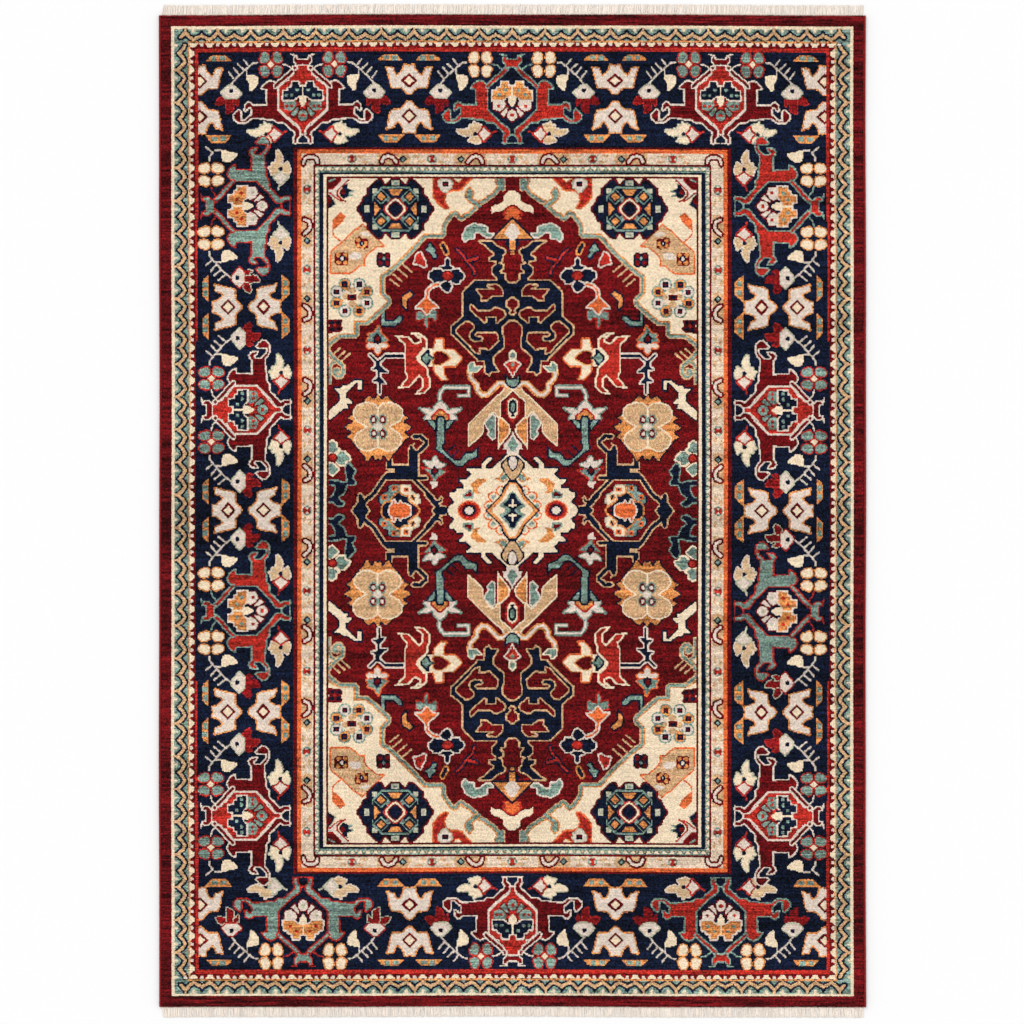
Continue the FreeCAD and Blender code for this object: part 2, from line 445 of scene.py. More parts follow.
def edge_lattice(pen):
    """The pale half flower and the teal-piped navy figure at the field's side."""
    pen.area("navy", [
        (157.5, 39.5), (160, 43), (163.5, 46.5), (165.5, 46.5), (167, 42), (166.3, 38), (165.3, 31),
        (165.5, 28), (170, 27.3), (174, 29), (184, 30), (184, 26.5), (177, 25.5), (176.5, 21),
        (179, 15.5), (182, 12.5), (184, 13), (184, 8.5), (180, 9), (176.5, 6), (173.5, 4.5),
        (170, 5.5), (169, 7.5), (173, 10), (174.8, 13.5), (169.5, 17), (168, 20), (166, 26),
        (158, 26.5), (157.8, 28.5), (160.5, 32.5), (160.3, 34.5),
    ], "teal", 1.5)
    petals = [
        [(174, 61), (177, 63), (177, 67), (180, 69.5), (184, 67.5), (184, 58), (179, 57.5)],
        [(163, 51), (164, 54), (169, 58.8), (173, 58.5), (176, 55.5), (175.5, 48.5), (173, 46),
         (168.5, 45.8), (167.5, 49.3)],
        [(174.5, 41.5), (178, 45), (181, 47.5), (184, 47.5), (184, 38), (180, 35.5)],
    ]
    for petal in petals:
        pen.area("teal", petal, "cream", 1.6)
    pen.dot("maroon", 179.8, 52.6, 4.6, 5)
    pen.dot("red", 179.7, 52.6, 3.2)


def quatrefoil(pen):
    """The tan four-lobed flower, its gold serrated collar and its four eyes."""
    half = pen.at(134.8, 84, mirror=True)
    half.area("gold", [
        (0, 32), (2, 29), (3.4, 26.5), (7.5, 30), (10, 29.5), (12.5, 27), (14, 25), (20, 18),
        (23.5, 14), (26, 11), (30, 8.5), (26, 6.5), (24.5, 4), (28.5, 2.5), (33, -0.5), (31, -3), (25.5, -5),
        (28, -8), (31, -10.5), (27, -12.5), (24.5, -16), (17.5, -25), (14, -28.5), (11.5, -34),
        (9.5, -33.5), (6.5, -29), (4.5, -28.5), (3, -33), (0, -32),
    ], "navy", 1.5)
    half.area("tan", [
        (0, 17), (3, 21), (6, 23), (13, 23.2), (20, 20.5), (23.5, 16.5), (24, 11), (21.5, 6.5),
        (15, 2.5), (10, 0), (15, -4), (20.5, -7.5), (23, -12), (22, -16.5), (19, -20.5), (14, -23.5),
        (8, -23.5), (3, -21), (0, -20),
    ], "cream", 1.4)
    half.line("cream", [(0, 17), (0, 7)], 1.6)
    half.line("cream", [(0, -8), (0, -20)], 1.6)
    half.dot("maroon", 4.6, 6.7, 3.2, 4.3, "teal", 1.4)
    half.dot("maroon", 4.5, -7, 3.2, 4.6, "teal", 1.4)
    half.dot("ivory", 4.5, 6.8, 1.7, 2.3)
    half.dot("ivory", 4.2, -7.3, 1.7, 2.2)
    half.dot("ivory", 0, 0, 4, 2.8, "pale", 1)


def antler_stem(pen):
    """The navy branching stem, edged in ivory, that rises from the quatrefoil."""
    pen.area("navy", [
        (108.5, 153.4), (108.5, 156.4), (127, 156.4), (133.5, 150.5), (135.5, 150.5),
        (142, 156.2), (143.8, 156), (143.5, 155), (137, 149), (137, 144.5), (141, 141.2),
        (135.5, 140.5), (135.3, 133.5), (140, 129.2), (134.5, 128.5), (134, 117), (132.5, 117),
        (132.3, 127), (127.5, 127.3), (132.5, 133), (132.5, 138.3), (125, 138.3), (132.8, 145),
        (132.8, 148.5), (127, 153.4),
    ], "ivory", 1.5)


def bone_figure(pen):
    """The cream branching figure at the field's side, edged in navy."""
    pen.area("cream", [
        (151, 121), (151, 130), (158, 130), (166, 124.5), (169.5, 125.3), (171.5, 122.5),
        (178.5, 122.3), (178, 121), (173.3, 117), (172.8, 110), (174, 108), (184, 100), (184, 90.5),
        (182, 91.5), (176, 96.5), (168.5, 102.5), (164.5, 102.5), (166, 107), (161.3, 107.5),
        (161.3, 109), (164, 111.5), (166.5, 112.5), (166.5, 118), (164, 120.5), (156.5, 127.8),
        (154.5, 127.8), (154.5, 121),
    ], "navy", 1.6)


def comb_scroll(pen):
    """The teal curl with a comb of tan teeth at the field's side."""
    curl = [
        (176, 172), (184, 165.5), (186, 161), (178.5, 152), (173, 147.5), (170, 145), (169.5, 138),
        (172, 134), (176, 134), (178.6, 137), (178.4, 140), (175.5, 141), (174.8, 138.5),
    ]
    branch = [(178, 148.5), (182.3, 146), (183, 141), (183, 128)]
    pen.figure("teal", "tan", 1.3, lines=[(curl, 2.6), (branch, 1.8)])
    for u, v in ((163, 157), (167.5, 159.5), (172.5, 162.5)):
        pen.line("tan", [(u, v), (u + 8, v - 7.5)], 1.7)
    pen.diamond("cream", 183.5, 150, 2.5, 3)


def star_flower(pen):
    """The cream cross with an orange edge, and the teal bud beside it."""
    pen.area("cream", [
        (69.5, 171), (69.8, 162), (68.5, 160.7), (59.5, 160.7), (51, 152), (57.5, 144.8),
        (68.5, 144.8), (69.5, 143.5), (69.3, 136.5), (66, 131.5), (70.5, 131.5), (77.8, 138.5),
        (78.5, 144), (80.5, 150), (80.5, 158), (78.5, 163), (76.5, 171),
    ], "orange", 1.5)
    pen.area("cream", [
        (80, 161.5), (89, 162), (93.5, 158), (95.8, 153), (92, 147.5), (88, 143.8), (80, 144),
    ])
    pen.area("maroon", [
        (62.5, 152.3), (67, 156.5), (71, 159), (76, 158.8), (79.3, 157), (78, 152), (79.8, 148.5),
        (78, 146.3), (72.5, 146), (66, 149.8),
    ], "gold", 1.2)
    pen.area("navy", [
        (83.5, 160.8), (86, 160.8), (91.8, 155), (92.5, 152), (90, 148), (85.5, 144.3),
        (83, 145.8), (82, 150), (77.5, 152.5), (82, 155), (83, 157),
    ])
    pen.area("teal", [
        (85, 156.5), (86.5, 157.5), (90.2, 153.5), (89.8, 150.5), (86, 147), (84, 150.3),
        (79.8, 152.3), (84, 154.3),
    ])


def draw_lower_field(pen):
    """Everything from the rug's middle line up to the vases, for one quarter."""
    small_flower(pen)
    side_palmette(pen)
    edge_lattice(pen)
    stem_flower(pen)
    quatrefoil(pen)
    antler_stem(pen)
    bone_figure(pen)
    comb_scroll(pen)
    butterfly(pen)
    central_medallion(pen)
    bud_stack(pen)


def winged_figure(pen):
    """The tall red winged figure, edged in cream."""
    pen.area("red", [
        (86.7, 162.8), (86.7, 170), (88.5, 172.5), (92.5, 173.8), (91, 170.5), (91.3, 168.5),
        (94, 167), (96.5, 166), (100, 167), (102, 170), (105, 172.8), (113.5, 173), (112, 171),
        (107.5, 167), (106.5, 164), (106.7, 138), (104.8, 136), (104.5, 131.5), (108.5, 127.8),
        (110.5, 124.3), (104.5, 124.3), (101, 128), (93.7, 135.8), (89.5, 132), (89.3, 123),
        (94.5, 118.5), (89.5, 118.3), (84, 123.5), (83.8, 132), (85.5, 135), (85.8, 141),
        (90.5, 145.5), (95.5, 150.5), (96.5, 153.5), (93, 158.5), (89.5, 162.5),
    ], "cream", 1.6)
    pen.line("cream", [(86, 171), (89.5, 174.3), (94, 177.2), (101.5, 177.2)], 1.7)
    pen.line("cream", [(97.5, 176.5), (93.5, 172.5)], 1.7)
    pen.line("cream", [(112, 173.8), (117, 174.3)], 1.4)
    pen.line("cream", [(109, 123), (114.5, 122.8)], 1.4)
    pen.line("cream", [(92, 117.2), (97, 116.8)], 1.4)


def vase(pen):
    """The big navy arabesque vase, piped with tan inside and out."""
    pen.area("navy", [
        (0, 191), (3.5, 190.5), (10.5, 184), (10.5, 176), (9.3, 173), (9.3, 163.5), (20, 153.5),
        (19.5, 147), (15, 139.5), (22, 139.3), (23.5, 136), (27, 138.5), (27.3, 145), (28, 150),
        (34.5, 150.5), (36, 153), (55, 172), (60.5, 176.5), (60.5, 184.5), (54, 189.5),
        (49, 194), (49, 218), (46, 222), (37.5, 229.5), (15, 229.8), (15.2, 232.5),
        (19.7, 237.5), (19.5, 243), (15.5, 246.5), (16, 249.5), (22.5, 250.5), (22.3, 252.8),
        (19, 254.5), (17.3, 256.8), (21, 260), (26, 265), (30.5, 268), (33, 269.5), (24, 269.3),
        (19.5, 268.3), (15.5, 264.3), (12, 262.3), (9, 261.8), (7.5, 260), (8, 257.5), (10, 256),
        (10.7, 250), (14, 247.5), (9.5, 245.5), (9.5, 242.5), (12.5, 239.5), (12, 237.5),
        (8, 236.5), (8, 231), (4, 227.5), (0, 227.3),
    ], "tan", 1.5)
    holes = [
        [(22.5, 161.5), (20.5, 164.5), (18, 166), (14.8, 169.5), (15.5, 175), (16.8, 177.2),
         (35, 177.3), (37, 176), (36, 175), (30.5, 174.5), (28.5, 172), (30.5, 169.3),
         (38, 168.3), (42.5, 171), (43.7, 173.5), (43.3, 178), (40.5, 180.5), (39, 183),
         (39.3, 184.5), (43, 188), (47, 188.7), (55.7, 181), (55.7, 178), (50, 173), (37, 158.5),
         (33, 157.3), (34.5, 163), (26, 162.6), (24.5, 161.5)],
        [(7.5, 196.5), (9, 199.5), (14.5, 202.3), (18, 202.2), (22, 199.2), (34.5, 199.2),
         (41.5, 205.5), (41.7, 201.5), (34, 194), (28, 188.8), (26.7, 189), (26.7, 194),
         (15.8, 194), (15.8, 188), (8, 194.5)],
        [(10.3, 215.3), (20, 215.3), (26, 210.7), (31, 210.7), (30.3, 214.5), (35.5, 220.7),
         (19, 220.7), (17.5, 221.8), (23, 223.8), (24.5, 225.3), (16, 225.6), (13, 224), (10.3, 220)],
        [(0, 212.5), (1.5, 212.3), (3, 210.5), (5.2, 209.5), (5.2, 204), (2.5, 202.5), (1, 200),
         (2.5, 198), (1.3, 196.8), (0, 196.7)],
    ]
    for hole in holes:
        pen.area("maroon", hole, "tan", 1.4)
    pen.line("tan", [(20, 221.8), (24, 223.6)], 1.8)


def vase_crown(pen):
    """The gold triangle, the orange flame and the cream chevron above the vase."""
    pen.area("cream", [
        (0, 320.5), (3, 320), (5, 318), (8.5, 315), (8.5, 310), (10, 308.5), (14, 306.5),
        (18, 305.5), (20.5, 303.5), (21.5, 300.5), (21, 297), (18, 298.5), (13, 299), (9, 301),
        (5, 304.5), (2, 306), (0, 306.5),
    ])
    pen.area("red", [
        (0, 305.5), (5, 303.5), (10, 298.5), (10.3, 296), (9, 294), (10, 290.5), (4, 291), (0, 294),
    ])
    pen.area("orange", [(0, 304), (5, 301.5), (8, 298.5), (6, 296), (8, 292.5), (5, 291), (0, 294)])
    pen.area("gold", [(0, 291.5), (19.5, 272), (0, 272)], "navy", 1.8)
    pen.area("navy", [(0, 271), (4, 271.5), (7, 268), (6.5, 265), (4, 262.5), (3, 256), (0, 255.5)])
    pen.area("ivory", [(0, 287), (2, 286.5), (5, 283), (8, 277), (5, 274), (2.5, 270.5), (0, 270.5)])
    pen.box("gold", 0, 261.5, 2.6, 270.5)
    pen.box("gold", 0, 256.5, 2.4, 260.2)
    pen.area("teal", [
        (19, 276.3), (25, 276.8), (26, 279), (26, 283.5), (30, 285), (35, 285.5), (38, 287),
        (42, 285), (46, 282.5), (47, 279.5), (49.7, 275), (49.2, 271.5), (47.5, 269.5),
        (44, 272.5), (39, 272.5), (38.5, 277), (36.5, 279), (33, 278.8), (29, 276), (26, 273.6),
        (22, 273.6),
    ], "ivory", 1.5)


def four_petal_navy(pen):
    """The navy cross flower edged in ivory, its stalk, the orange tulip and its teal cup."""
    lobes = [
        [(48, 234.5), (50, 237.5), (52.5, 239.5), (53, 241.5), (58, 241.5), (62, 239), (62, 230),
         (58, 227.5), (53, 227.5), (52.3, 230.5), (49.5, 232)],
        [(68, 239), (71, 240.5), (73, 241.5), (79, 241.5), (79.5, 239.5), (82, 238.5),
         (83.5, 236), (83.3, 232.5), (80, 231), (79, 229.5), (78.7, 227.5), (74, 227.5), (68, 230)],
        [(59.5, 243.5), (63, 245), (63.2, 251), (65, 252.2), (66.8, 250.5), (67, 244.8),
         (72.5, 243.5), (69, 240.8), (62, 240.8)],
        [(65, 229.5), (70, 227.8), (72, 225), (69.5, 221.3), (65, 218.5), (63, 219.5),
         (60.5, 224.5), (62, 227.5)],
    ]
    for lobe in lobes:
        pen.area("navy", lobe, "ivory", 1.4)
    pen.dot("navy", 64.8, 234.8, 6.5, 5.5)
    pen.dot("maroon", 64.8, 234.8, 5.8, 5)
    pen.dot("red", 64.8, 234.6, 4.8, 4)
    pen.area("teal", [
        (75.5, 200), (80.5, 199.8), (84, 196), (87, 195), (91, 199), (96, 198), (96, 190.5),
        (91.5, 191), (88.3, 193), (88, 187), (86, 182.5), (84.6, 184), (85, 192.5), (80, 193),
        (77.5, 190.3), (75.5, 191.5),
    ], "red", 1.4)
    pen.figure("orange", "ivory", 1.5, [[
        (85.7, 213), (82, 209.5), (74.5, 203.2), (80, 202.8), (82, 200.5), (84, 197.8),
        (86, 196.5), (88.5, 200), (90.5, 202.8), (97, 202.8), (90, 209.5),
    ]], [([(74, 226.3), (79.5, 225), (85.2, 219.5), (85.7, 212)], 2)])


def small_leaves(pen):
    """The red branch and the small lozenges beside the cream corner."""
    stalk = [(38, 236.5), (38.7, 241), (41, 244.5), (46, 249.5), (48.5, 254), (51, 257.5), (55.5, 261)]
    pen.figure("red", "navy", 1.6, lines=[(stalk, 2), ([(35, 252.5), (41, 250.8), (46, 249.8)], 2.6)])
    pen.area("navy", [
        (64.5, 257), (65, 260.5), (67, 264.5), (69, 267.3), (71, 267), (71, 264), (69.5, 261),
        (67.5, 257),
    ], "gold", 1.5)
    pen.area("teal", [
        (75.5, 254.5), (77, 252.8), (79, 253), (80, 256), (82.5, 258.5), (86.5, 260.5),
        (84.5, 263), (84.3, 265), (82, 267), (80.5, 264.5), (77, 260.5), (78, 257.5),
    ], "navy", 1.6)
    pen.area("red", [
        (86.7, 244), (89, 243.8), (93, 246.3), (98.5, 247), (97, 250.5), (96.5, 254),
        (94.5, 257), (91.5, 258), (90, 253.5), (87.5, 250),
    ], "ivory", 1.5)
    pen.area("gold", [
        (99, 216), (102.5, 219.5), (104, 217.5), (109, 215), (110, 212), (109.8, 205),
        (105.8, 200.8), (105.8, 210), (104.5, 211.5),
    ], "navy", 1.7)


def star_leaf_flower(pen):
    """The teal four-pointed leaf edged in orange, over its ivory petals."""
    pen.area("ivory", [
        (124.5, 164.8), (127, 167.5), (132, 168.5), (138, 168.5), (143, 168), (146, 165),
        (143.5, 162.3), (138.5, 162.8), (137.5, 158.5), (135, 156.5), (132.3, 159.5),
        (132.5, 162.8), (127.5, 162.5),
    ], "orange", 1.4)
    pen.area("teal", [
        (134, 185), (137, 179.8), (139.5, 177.5), (144.5, 176.3), (143.2, 173.3), (146, 169.5),
        (140, 168.3), (128, 168.3), (124.5, 170.5), (131.5, 177), (132.5, 180),
    ], "orange", 1.4)
    pen.area("navy", [
        (135.5, 178), (139.7, 172.5), (138.5, 170), (139, 167.5), (135, 166), (131, 168),
        (131.3, 173),
    ])
    pen.area("maroon", [(136, 175), (138, 172), (136.5, 168.8), (133, 169), (132.5, 172)])


# The cream corner's outline, from the field's side round to its end.
CORNER = [
    (190, 166), (183, 172), (178, 175), (172.5, 177.3), (158.5, 177.5), (158.5, 189.8),
    (147, 190), (140, 195.5), (126.5, 208), (126, 209.5), (131, 214), (132.8, 217),
    (132.8, 234), (131, 236.5), (126, 239.5), (118, 246.5), (109.5, 254.5), (100.5, 263.5),
    (92, 273.5), (88.5, 276.8), (71.5, 277.5), (71, 285), (69, 289.5), (62.5, 298),
    (58, 300.7), (55, 299.7), (51, 294.7), (49.3, 297.5), (45.5, 298.5), (39, 304.5),
    (34, 310.3), (29, 312.5), (24.5, 315.8), (20.5, 318.2), (15.8, 324.5), (17.5, 328),
    (20, 340), (190, 340),
]


def corner_ground(pen):
    """The cream corner with its gold, teal and tan outlines, comb and hooks."""
    for u, v in ((101, 239), (105.5, 234), (110.5, 229), (114, 224.5)):
        pen.line("tan", [(u, v), (u + 8.5, v + 7)], 1.6)
    pen.area("teal", [
        (110.5, 194), (114, 193.7), (119, 189), (128, 189), (128, 200), (130.5, 196),
        (130.5, 185), (117.5, 185), (110.5, 191),
    ], "navy", 1.6)
    pen.line("tan", [(9.5, 334), (9.5, 322)], 5)
    pen.area("cream", CORNER, "tan", 5.4)
    pen.line("teal", [(10.5, 334), (10.5, 322)], 4.5)
    pen.area("cream", CORNER, "teal", 4.3)
    pen.area("cream", CORNER, "gold", 1.5)
    pen.figure("teal", "gold", 1.5, [[
        (39.5, 317), (40, 319.5), (42.5, 322.5), (45, 320.5), (46.5, 317), (46, 313.5),
        (43, 310.5), (41, 313.5),
    ]], [([(35.5, 306.5), (40, 309.5), (44, 313)], 3.4)])
    pen.line("teal", [(33, 304.5), (38, 307.5)], 3.4)


def corner_rosette(pen):
    """The large navy wheel in the corner, with its gold lattice and red ring."""
    wheel = pen.at(117, 301.5, mirror=True)
    wheel = Pen(wheel.chart, wheel.frames + wheel.at(0, 0, turn=2).frames)
    wheel.area("navy", [
        (0, 0), (0, 29.3), (4, 29.3), (7, 25), (9.5, 23.7), (11.5, 24), (14, 28.5), (16, 29.3),
        (18.5, 28), (27.3, 20), (27.3, 14), (31.3, 11.5), (33.3, 6.5), (37, 1.5), (37, 0),
    ], "maroon", 1.6)
    wheel.box("pale", 26.2, 0, 31, 3.4)
    wheel.box("pale", 18.3, 15.8, 22.8, 20.8)
    wheel.box("pale", 0, 23.2, 3.7, 28.2)
    wheel.box("teal", 0, 25, 1.6, 26.8)
    wheel.line("teal", [(22.6, 0), (22.6, 12.5), (13.5, 21.3), (0, 21.3)], 1.8)
    wheel.line("teal", [(6, 8), (12, 14.5)], 5)
    wheel.diamond("teal", 14.3, 12.3, 8.4)
    wheel.diamond("navy", 14.3, 12.3, 6.6)
    wheel.diamond("gold", 14.3, 12.3, 4.2)
    wheel.area("gold", [(0, 19.5), (7.5, 19.5), (2.8, 14), (0, 14)], "navy", 1.4)
    wheel.area("gold", [(21.3, 0), (21.3, 6.8), (18.8, 4.5), (15.3, 0)], "navy", 1.4)
    wheel.area("red", [(0, 11.6), (4, 10.6), (11, 3.2), (11.9, 0), (0, 0)])
    wheel.area("cream", [(0, 10.2), (3.2, 9.3), (9.4, 3), (10.4, 0), (0, 0)])
    wheel.area("maroon", [(0, 8.2), (2.3, 7.8), (7, 2.8), (7.8, 0), (0, 0)])
    wheel.area("navy", [(0, 6.5), (1.8, 6.2), (5.6, 2.2), (6.2, 0), (0, 0)])


def corner_leaf(pen):
    """The red leaf at the field's end, with an eye in it."""
    pen.area("red", [
        (40, 334), (43, 330.5), (46.5, 327.8), (48.5, 325), (51, 322), (54, 321), (61, 321),
        (65, 319), (67.3, 316), (68.3, 311), (67.8, 308), (64.5, 303), (67, 302.2),
        (70.5, 304.7), (75, 309), (78.3, 313), (78.8, 320), (78.3, 334),
    ], "orange", 1.6)
    pen.area("cream", [(50.5, 332), (54, 329), (59, 332)], "gold", 1)
    pen.area("ivory", [
        (61, 323.5), (60.8, 328), (62.5, 330.5), (66, 332), (70, 331.5), (73.5, 329), (73.8, 325),
        (71, 322.5), (69.5, 319.5), (66, 318.8), (64.5, 321.5),
    ], "pale", 1.4)
    pen.box("navy", 64.3, 324, 70.2, 328.7)
    pen.box("maroon", 66, 325.3, 68.8, 327.4)


def corner_lozenge(pen):
    """The tan lozenge edged in orange, its two small flowers and its orange leaf."""
    pen.area("tan", [
        (150, 285), (154, 281.5), (158, 279.5), (163, 274), (169.5, 268), (174, 264.5),
        (180.3, 259), (181.3, 254), (181.3, 237.7), (163, 237.7), (158.5, 240.5), (153, 245.5),
        (148.7, 245.5), (148.5, 251.5), (146, 256), (140, 261), (136, 264.3), (129, 264.8),
        (133, 268), (140, 275.5),
    ], "orange", 1.6)
    pen.area("ivory", [(141, 275.3), (146, 278.8), (151, 278.3), (153, 276), (149, 275), (145, 273.5)])
    pen.area("ivory", [
        (150.5, 256), (154, 258.5), (159, 258), (162.5, 255.5), (163, 251), (155, 250.5),
        (151, 252.5),
    ])
    pen.area("maroon", [
        (144, 262), (143.5, 270), (146, 272.5), (150, 272), (153, 273.8), (157, 272.5),
        (158, 268), (156.5, 264), (154.5, 262), (150, 262.5), (148, 260.5), (146, 262),
    ])
    for u, v in ((146.6, 267), (154.2, 270.3), (149.5, 263.9), (154.3, 264.7)):
        pen.dot("gold", u, v, 2.1)
    pen.dot("navy", 150.8, 267, 2.7)
    pen.dot("ivory", 150.8, 267, 0.8)
    pen.area("maroon", [
        (164, 247), (165.5, 245), (176, 245), (177.5, 247), (177.5, 256.5), (175.5, 258.3),
        (166, 258.3), (164, 256),
    ])
    for u, v in ((167.2, 247.8), (173.6, 247.8), (166.8, 255.6), (173.8, 255.6)):
        pen.dot("gold", u, v, 2.3)
    pen.dot("navy", 170.3, 252, 3.4)
    pen.dot("ivory", 170.3, 252, 1.8)
    pen.area("orange", [
        (172, 299), (173.5, 297), (177, 293.5), (180, 290), (180, 282), (178.5, 281),
        (174, 284), (169, 290), (167, 294), (168.5, 296), (171, 297),
    ])
    pen.line("orange", [(179.5, 282), (179.5, 276.5), (176, 272.5), (171, 268.5)], 1.6)


def corner_wreath(pen):
    """Eight small ringed flowers round a dark centre."""
    rings = [
        ("ivory", 153, 226), ("gold", 167.8, 226), ("ivory", 175.7, 218.8), ("gold", 176, 207.5),
        ("ivory", 167.6, 199.3), ("gold", 153.4, 199.3), ("ivory", 145.6, 207.5), ("gold", 145.6, 218.8),
    ]
    centre_u, centre_v = 160.5, 213.2
    for colour, u, v in rings:
        pen.dot("teal", u, v, 6.6)
    for colour, u, v in rings:
        inward = math.hypot(centre_u - u, centre_v - v)
        reach_u = (centre_u - u) / inward
        reach_v = (centre_v - v) / inward
        pen.area(colour, [
            (u + 8.5 * reach_u, v + 8.5 * reach_v),
            (u + 4.5 * reach_v, v - 4.5 * reach_u),
            (u - 4.5 * reach_v, v + 4.5 * reach_u),
        ])
        pen.dot(colour, u, v, 5.1)
        pen.box("navy", u - 2.8, v - 2.6, u + 2.8, v + 2.6)
        pen.dot("maroon", u, v, 1.4)
    for u, v, half_u, half_v in (
        (160, 220, 4, 3), (160, 206.3, 4, 3.6), (152.3, 213.5, 2.6, 2.8), (167.3, 214, 3, 3.3),
    ):
        pen.dot("tan", u, v, half_u, half_v)
    pen.box("maroon", centre_u - 4.4, centre_v - 2.8, centre_u + 4.2, centre_v + 3.2)
    pen.box("navy", centre_u - 2.8, centre_v - 1.2, centre_u + 2.6, centre_v + 2)


def corner_small_flowers(pen):
    """The dark four-dot flower, the one cut off by the side, and the corner spray."""
    pen.area("navy", [
        (121.5, 245), (124, 243), (127, 243.5), (128.5, 244.5), (131, 243), (134, 243),
        (135.7, 245.5), (135.7, 256), (134, 258.5), (131, 258), (128.5, 256.5), (126, 258),
        (123, 258), (121.5, 256),
    ])
    for u in (125, 132.2):
        for v in (247.5, 254.5):
            pen.dot("maroon", u, v, 2.4, 2.8)
    pen.dot("teal", 128.6, 252, 1.3, 2)
    pen.area("maroon", [
        (169.5, 189), (171, 191.5), (185, 191.5), (185, 177.3), (180, 177.5), (172, 178.5),
        (169.5, 181), (169.5, 183), (171, 184), (171, 187),
    ])
    for u, v in ((174, 188.2), (180.5, 188.2), (173.6, 181.5), (180.2, 180.8)):
        pen.dot("navy", u, v, 2.3, 2)
    pen.dot("red", 177.2, 185, 1.6)
    pen.diamond("ivory", 184, 185, 2, 1)
    pen.area("teal", [
        (157, 319), (165, 322.5), (164.3, 327.5), (167, 324), (166, 314), (158, 313.8),
        (163, 317.5),
    ])
    pen.area("navy", [
        (165, 327), (168, 325.5), (171, 321.5), (173.3, 317), (171, 313.5), (168, 311.5),
        (164.5, 314), (163.5, 318), (160, 320), (165.5, 322),
    ])
    pen.dot("maroon", 169.8, 318.8, 2.6, 3)
    pen.area("ivory", [
        (163.5, 334), (163.5, 330), (172, 323.5), (176, 319), (172, 312), (168, 310), (173, 310),
        (185, 318), (185, 334),
    ])
    pen.line("red", [
        (164, 330), (170, 324.8), (175.3, 319), (175, 315), (171, 311), (166.5, 309.2),
        (172, 309.5), (178, 313.5), (182, 317.2), (186, 317.6),
    ], 1.6)
    pen.area("maroon", [(170.5, 334), (173, 328.5), (179, 322.5), (186, 322.5), (186, 334)], "red", 1)
    pen.line("teal", [(178, 331.5), (185, 328)], 1.8)
    pen.area("navy", [(177, 306), (179, 310), (181, 314), (185, 316.5), (185, 300), (182, 303)], "pale", 0.8)
    pen.dot("maroon", 182.8, 309.8, 2.4, 3)


def draw_upper_field(pen):
    """Everything from the vases to the field's end, for one quarter."""
    winged_figure(pen)
    star_flower(pen)
    vase(pen)
    vase_crown(pen)
    four_petal_navy(pen)
    small_leaves(pen)
    corner_ground(pen)
    star_leaf_flower(pen)
    corner_lozenge(pen)
    corner_rosette(pen)
    corner_leaf(pen)
    corner_wreath(pen)
    corner_small_flowers(pen)


# The three dyes of the big border flowers, part by part.
DARK_DYES = {
    "body": "maroon", "rim": "ivory", "inside": "red", "petal": "navy", "spot": "teal",
    "lobe": "teal", "lobe_spot": "red", "flower": "teal", "flower_rim": "red", "eye": "cream",
    "leaf_rim": "red", "tail": "cream", "tail_rim": "pale", "head_rim": "pale", "fan_rim": "red",
}
TEAL_DYES = {
    "body": "teal", "rim": "red", "inside": "navy", "petal": "gold", "spot": "red",
    "lobe": "ivory", "lobe_spot": "pale", "flower": "cream", "flower_rim": "gold", "eye": "navy",
    "leaf_rim": "pale", "tail": "straw", "tail_rim": "ivory", "head_rim": "red", "fan_rim": "pale",
}
RED_DYES = {
    "body": "red", "rim": "teal", "inside": "navy", "petal": "gold", "spot": "teal",
    "lobe": "ivory", "lobe_spot": "red", "flower": "cream", "flower_rim": "gold", "eye": "navy",
    "leaf_rim": "red", "tail": "straw", "tail_rim": "ivory", "head_rim": "pale", "fan_rim": "crimson",
}


def border_body(pen, dyes):
    """The horned body of a big border flower: crown, shoulders, curled arms and feet."""
    body, rim = dyes["body"], dyes["rim"]
    pen.area(body, [
        (25.3, 13.5), (28.5, 17.3), (32.5, 18.6), (36, 17), (39.5, 13.5), (40.7, 11.6),
        (35.8, 11.3), (35.4, -5.8), (50, -5.6), (52, -3.7), (54.5, -2.8), (57, -5),
        (57.8, -10.5), (56, -9.5), (54.5, -7.5), (51.8, -7.3), (50.6, -10), (51, -14.8),
        (53.5, -16.8), (56, -19.5), (58.5, -21), (62, -21), (62.3, -12), (63.5, -10),
        (66.5, -12.5), (69, -15.5), (68.5, -19), (65, -22), (57, -22), (54, -20.3), (51, -17.6),
        (40, -18.2), (36, -19), (28, -19.6), (25.5, -22), (18, -22.6), (14, -27), (8, -32),
        (7, -34.5), (9, -38), (8.6, -43), (6.2, -43), (6, -39), (3, -35.5), (3.5, -30.5),
        (5.5, -28), (10, -25), (16, -19.5), (22, -14), (25.2, -10.5),
    ], rim, 1.5)
    out = 2.6 if dyes["inside"] == "red" else 0
    strap = [(5 + out, 32), (9 + out, 27.5), (14 + out, 23), (19 + out, 19), (24.5 + out, 13.5)]
    pen.figure(body, rim, 1.4, lines=[(strap, 2.8)])
    pen.area(body, [(0, 40), (3, 39.5), (5.8, 40.5), (6.7, 43.3), (8.6, 42), (8.6, 38.5), (6.2, 36),
                    (5, 31.5), (3.5, 33), (0, 33)], rim, 1.4)
    pen.line(rim, [(6, 44.7), (12, 45.2)], 1.2)
    pen.line(rim, [(9.5, 30), (12.5, 32.3), (15.3, 34.5), (20, 35.4)], 1.5)
    pen.line(rim, [(0, -35), (3, -34)], 1.4)
    pen.line(rim, [(1, -43.8), (10, -43.8)], 1.2)


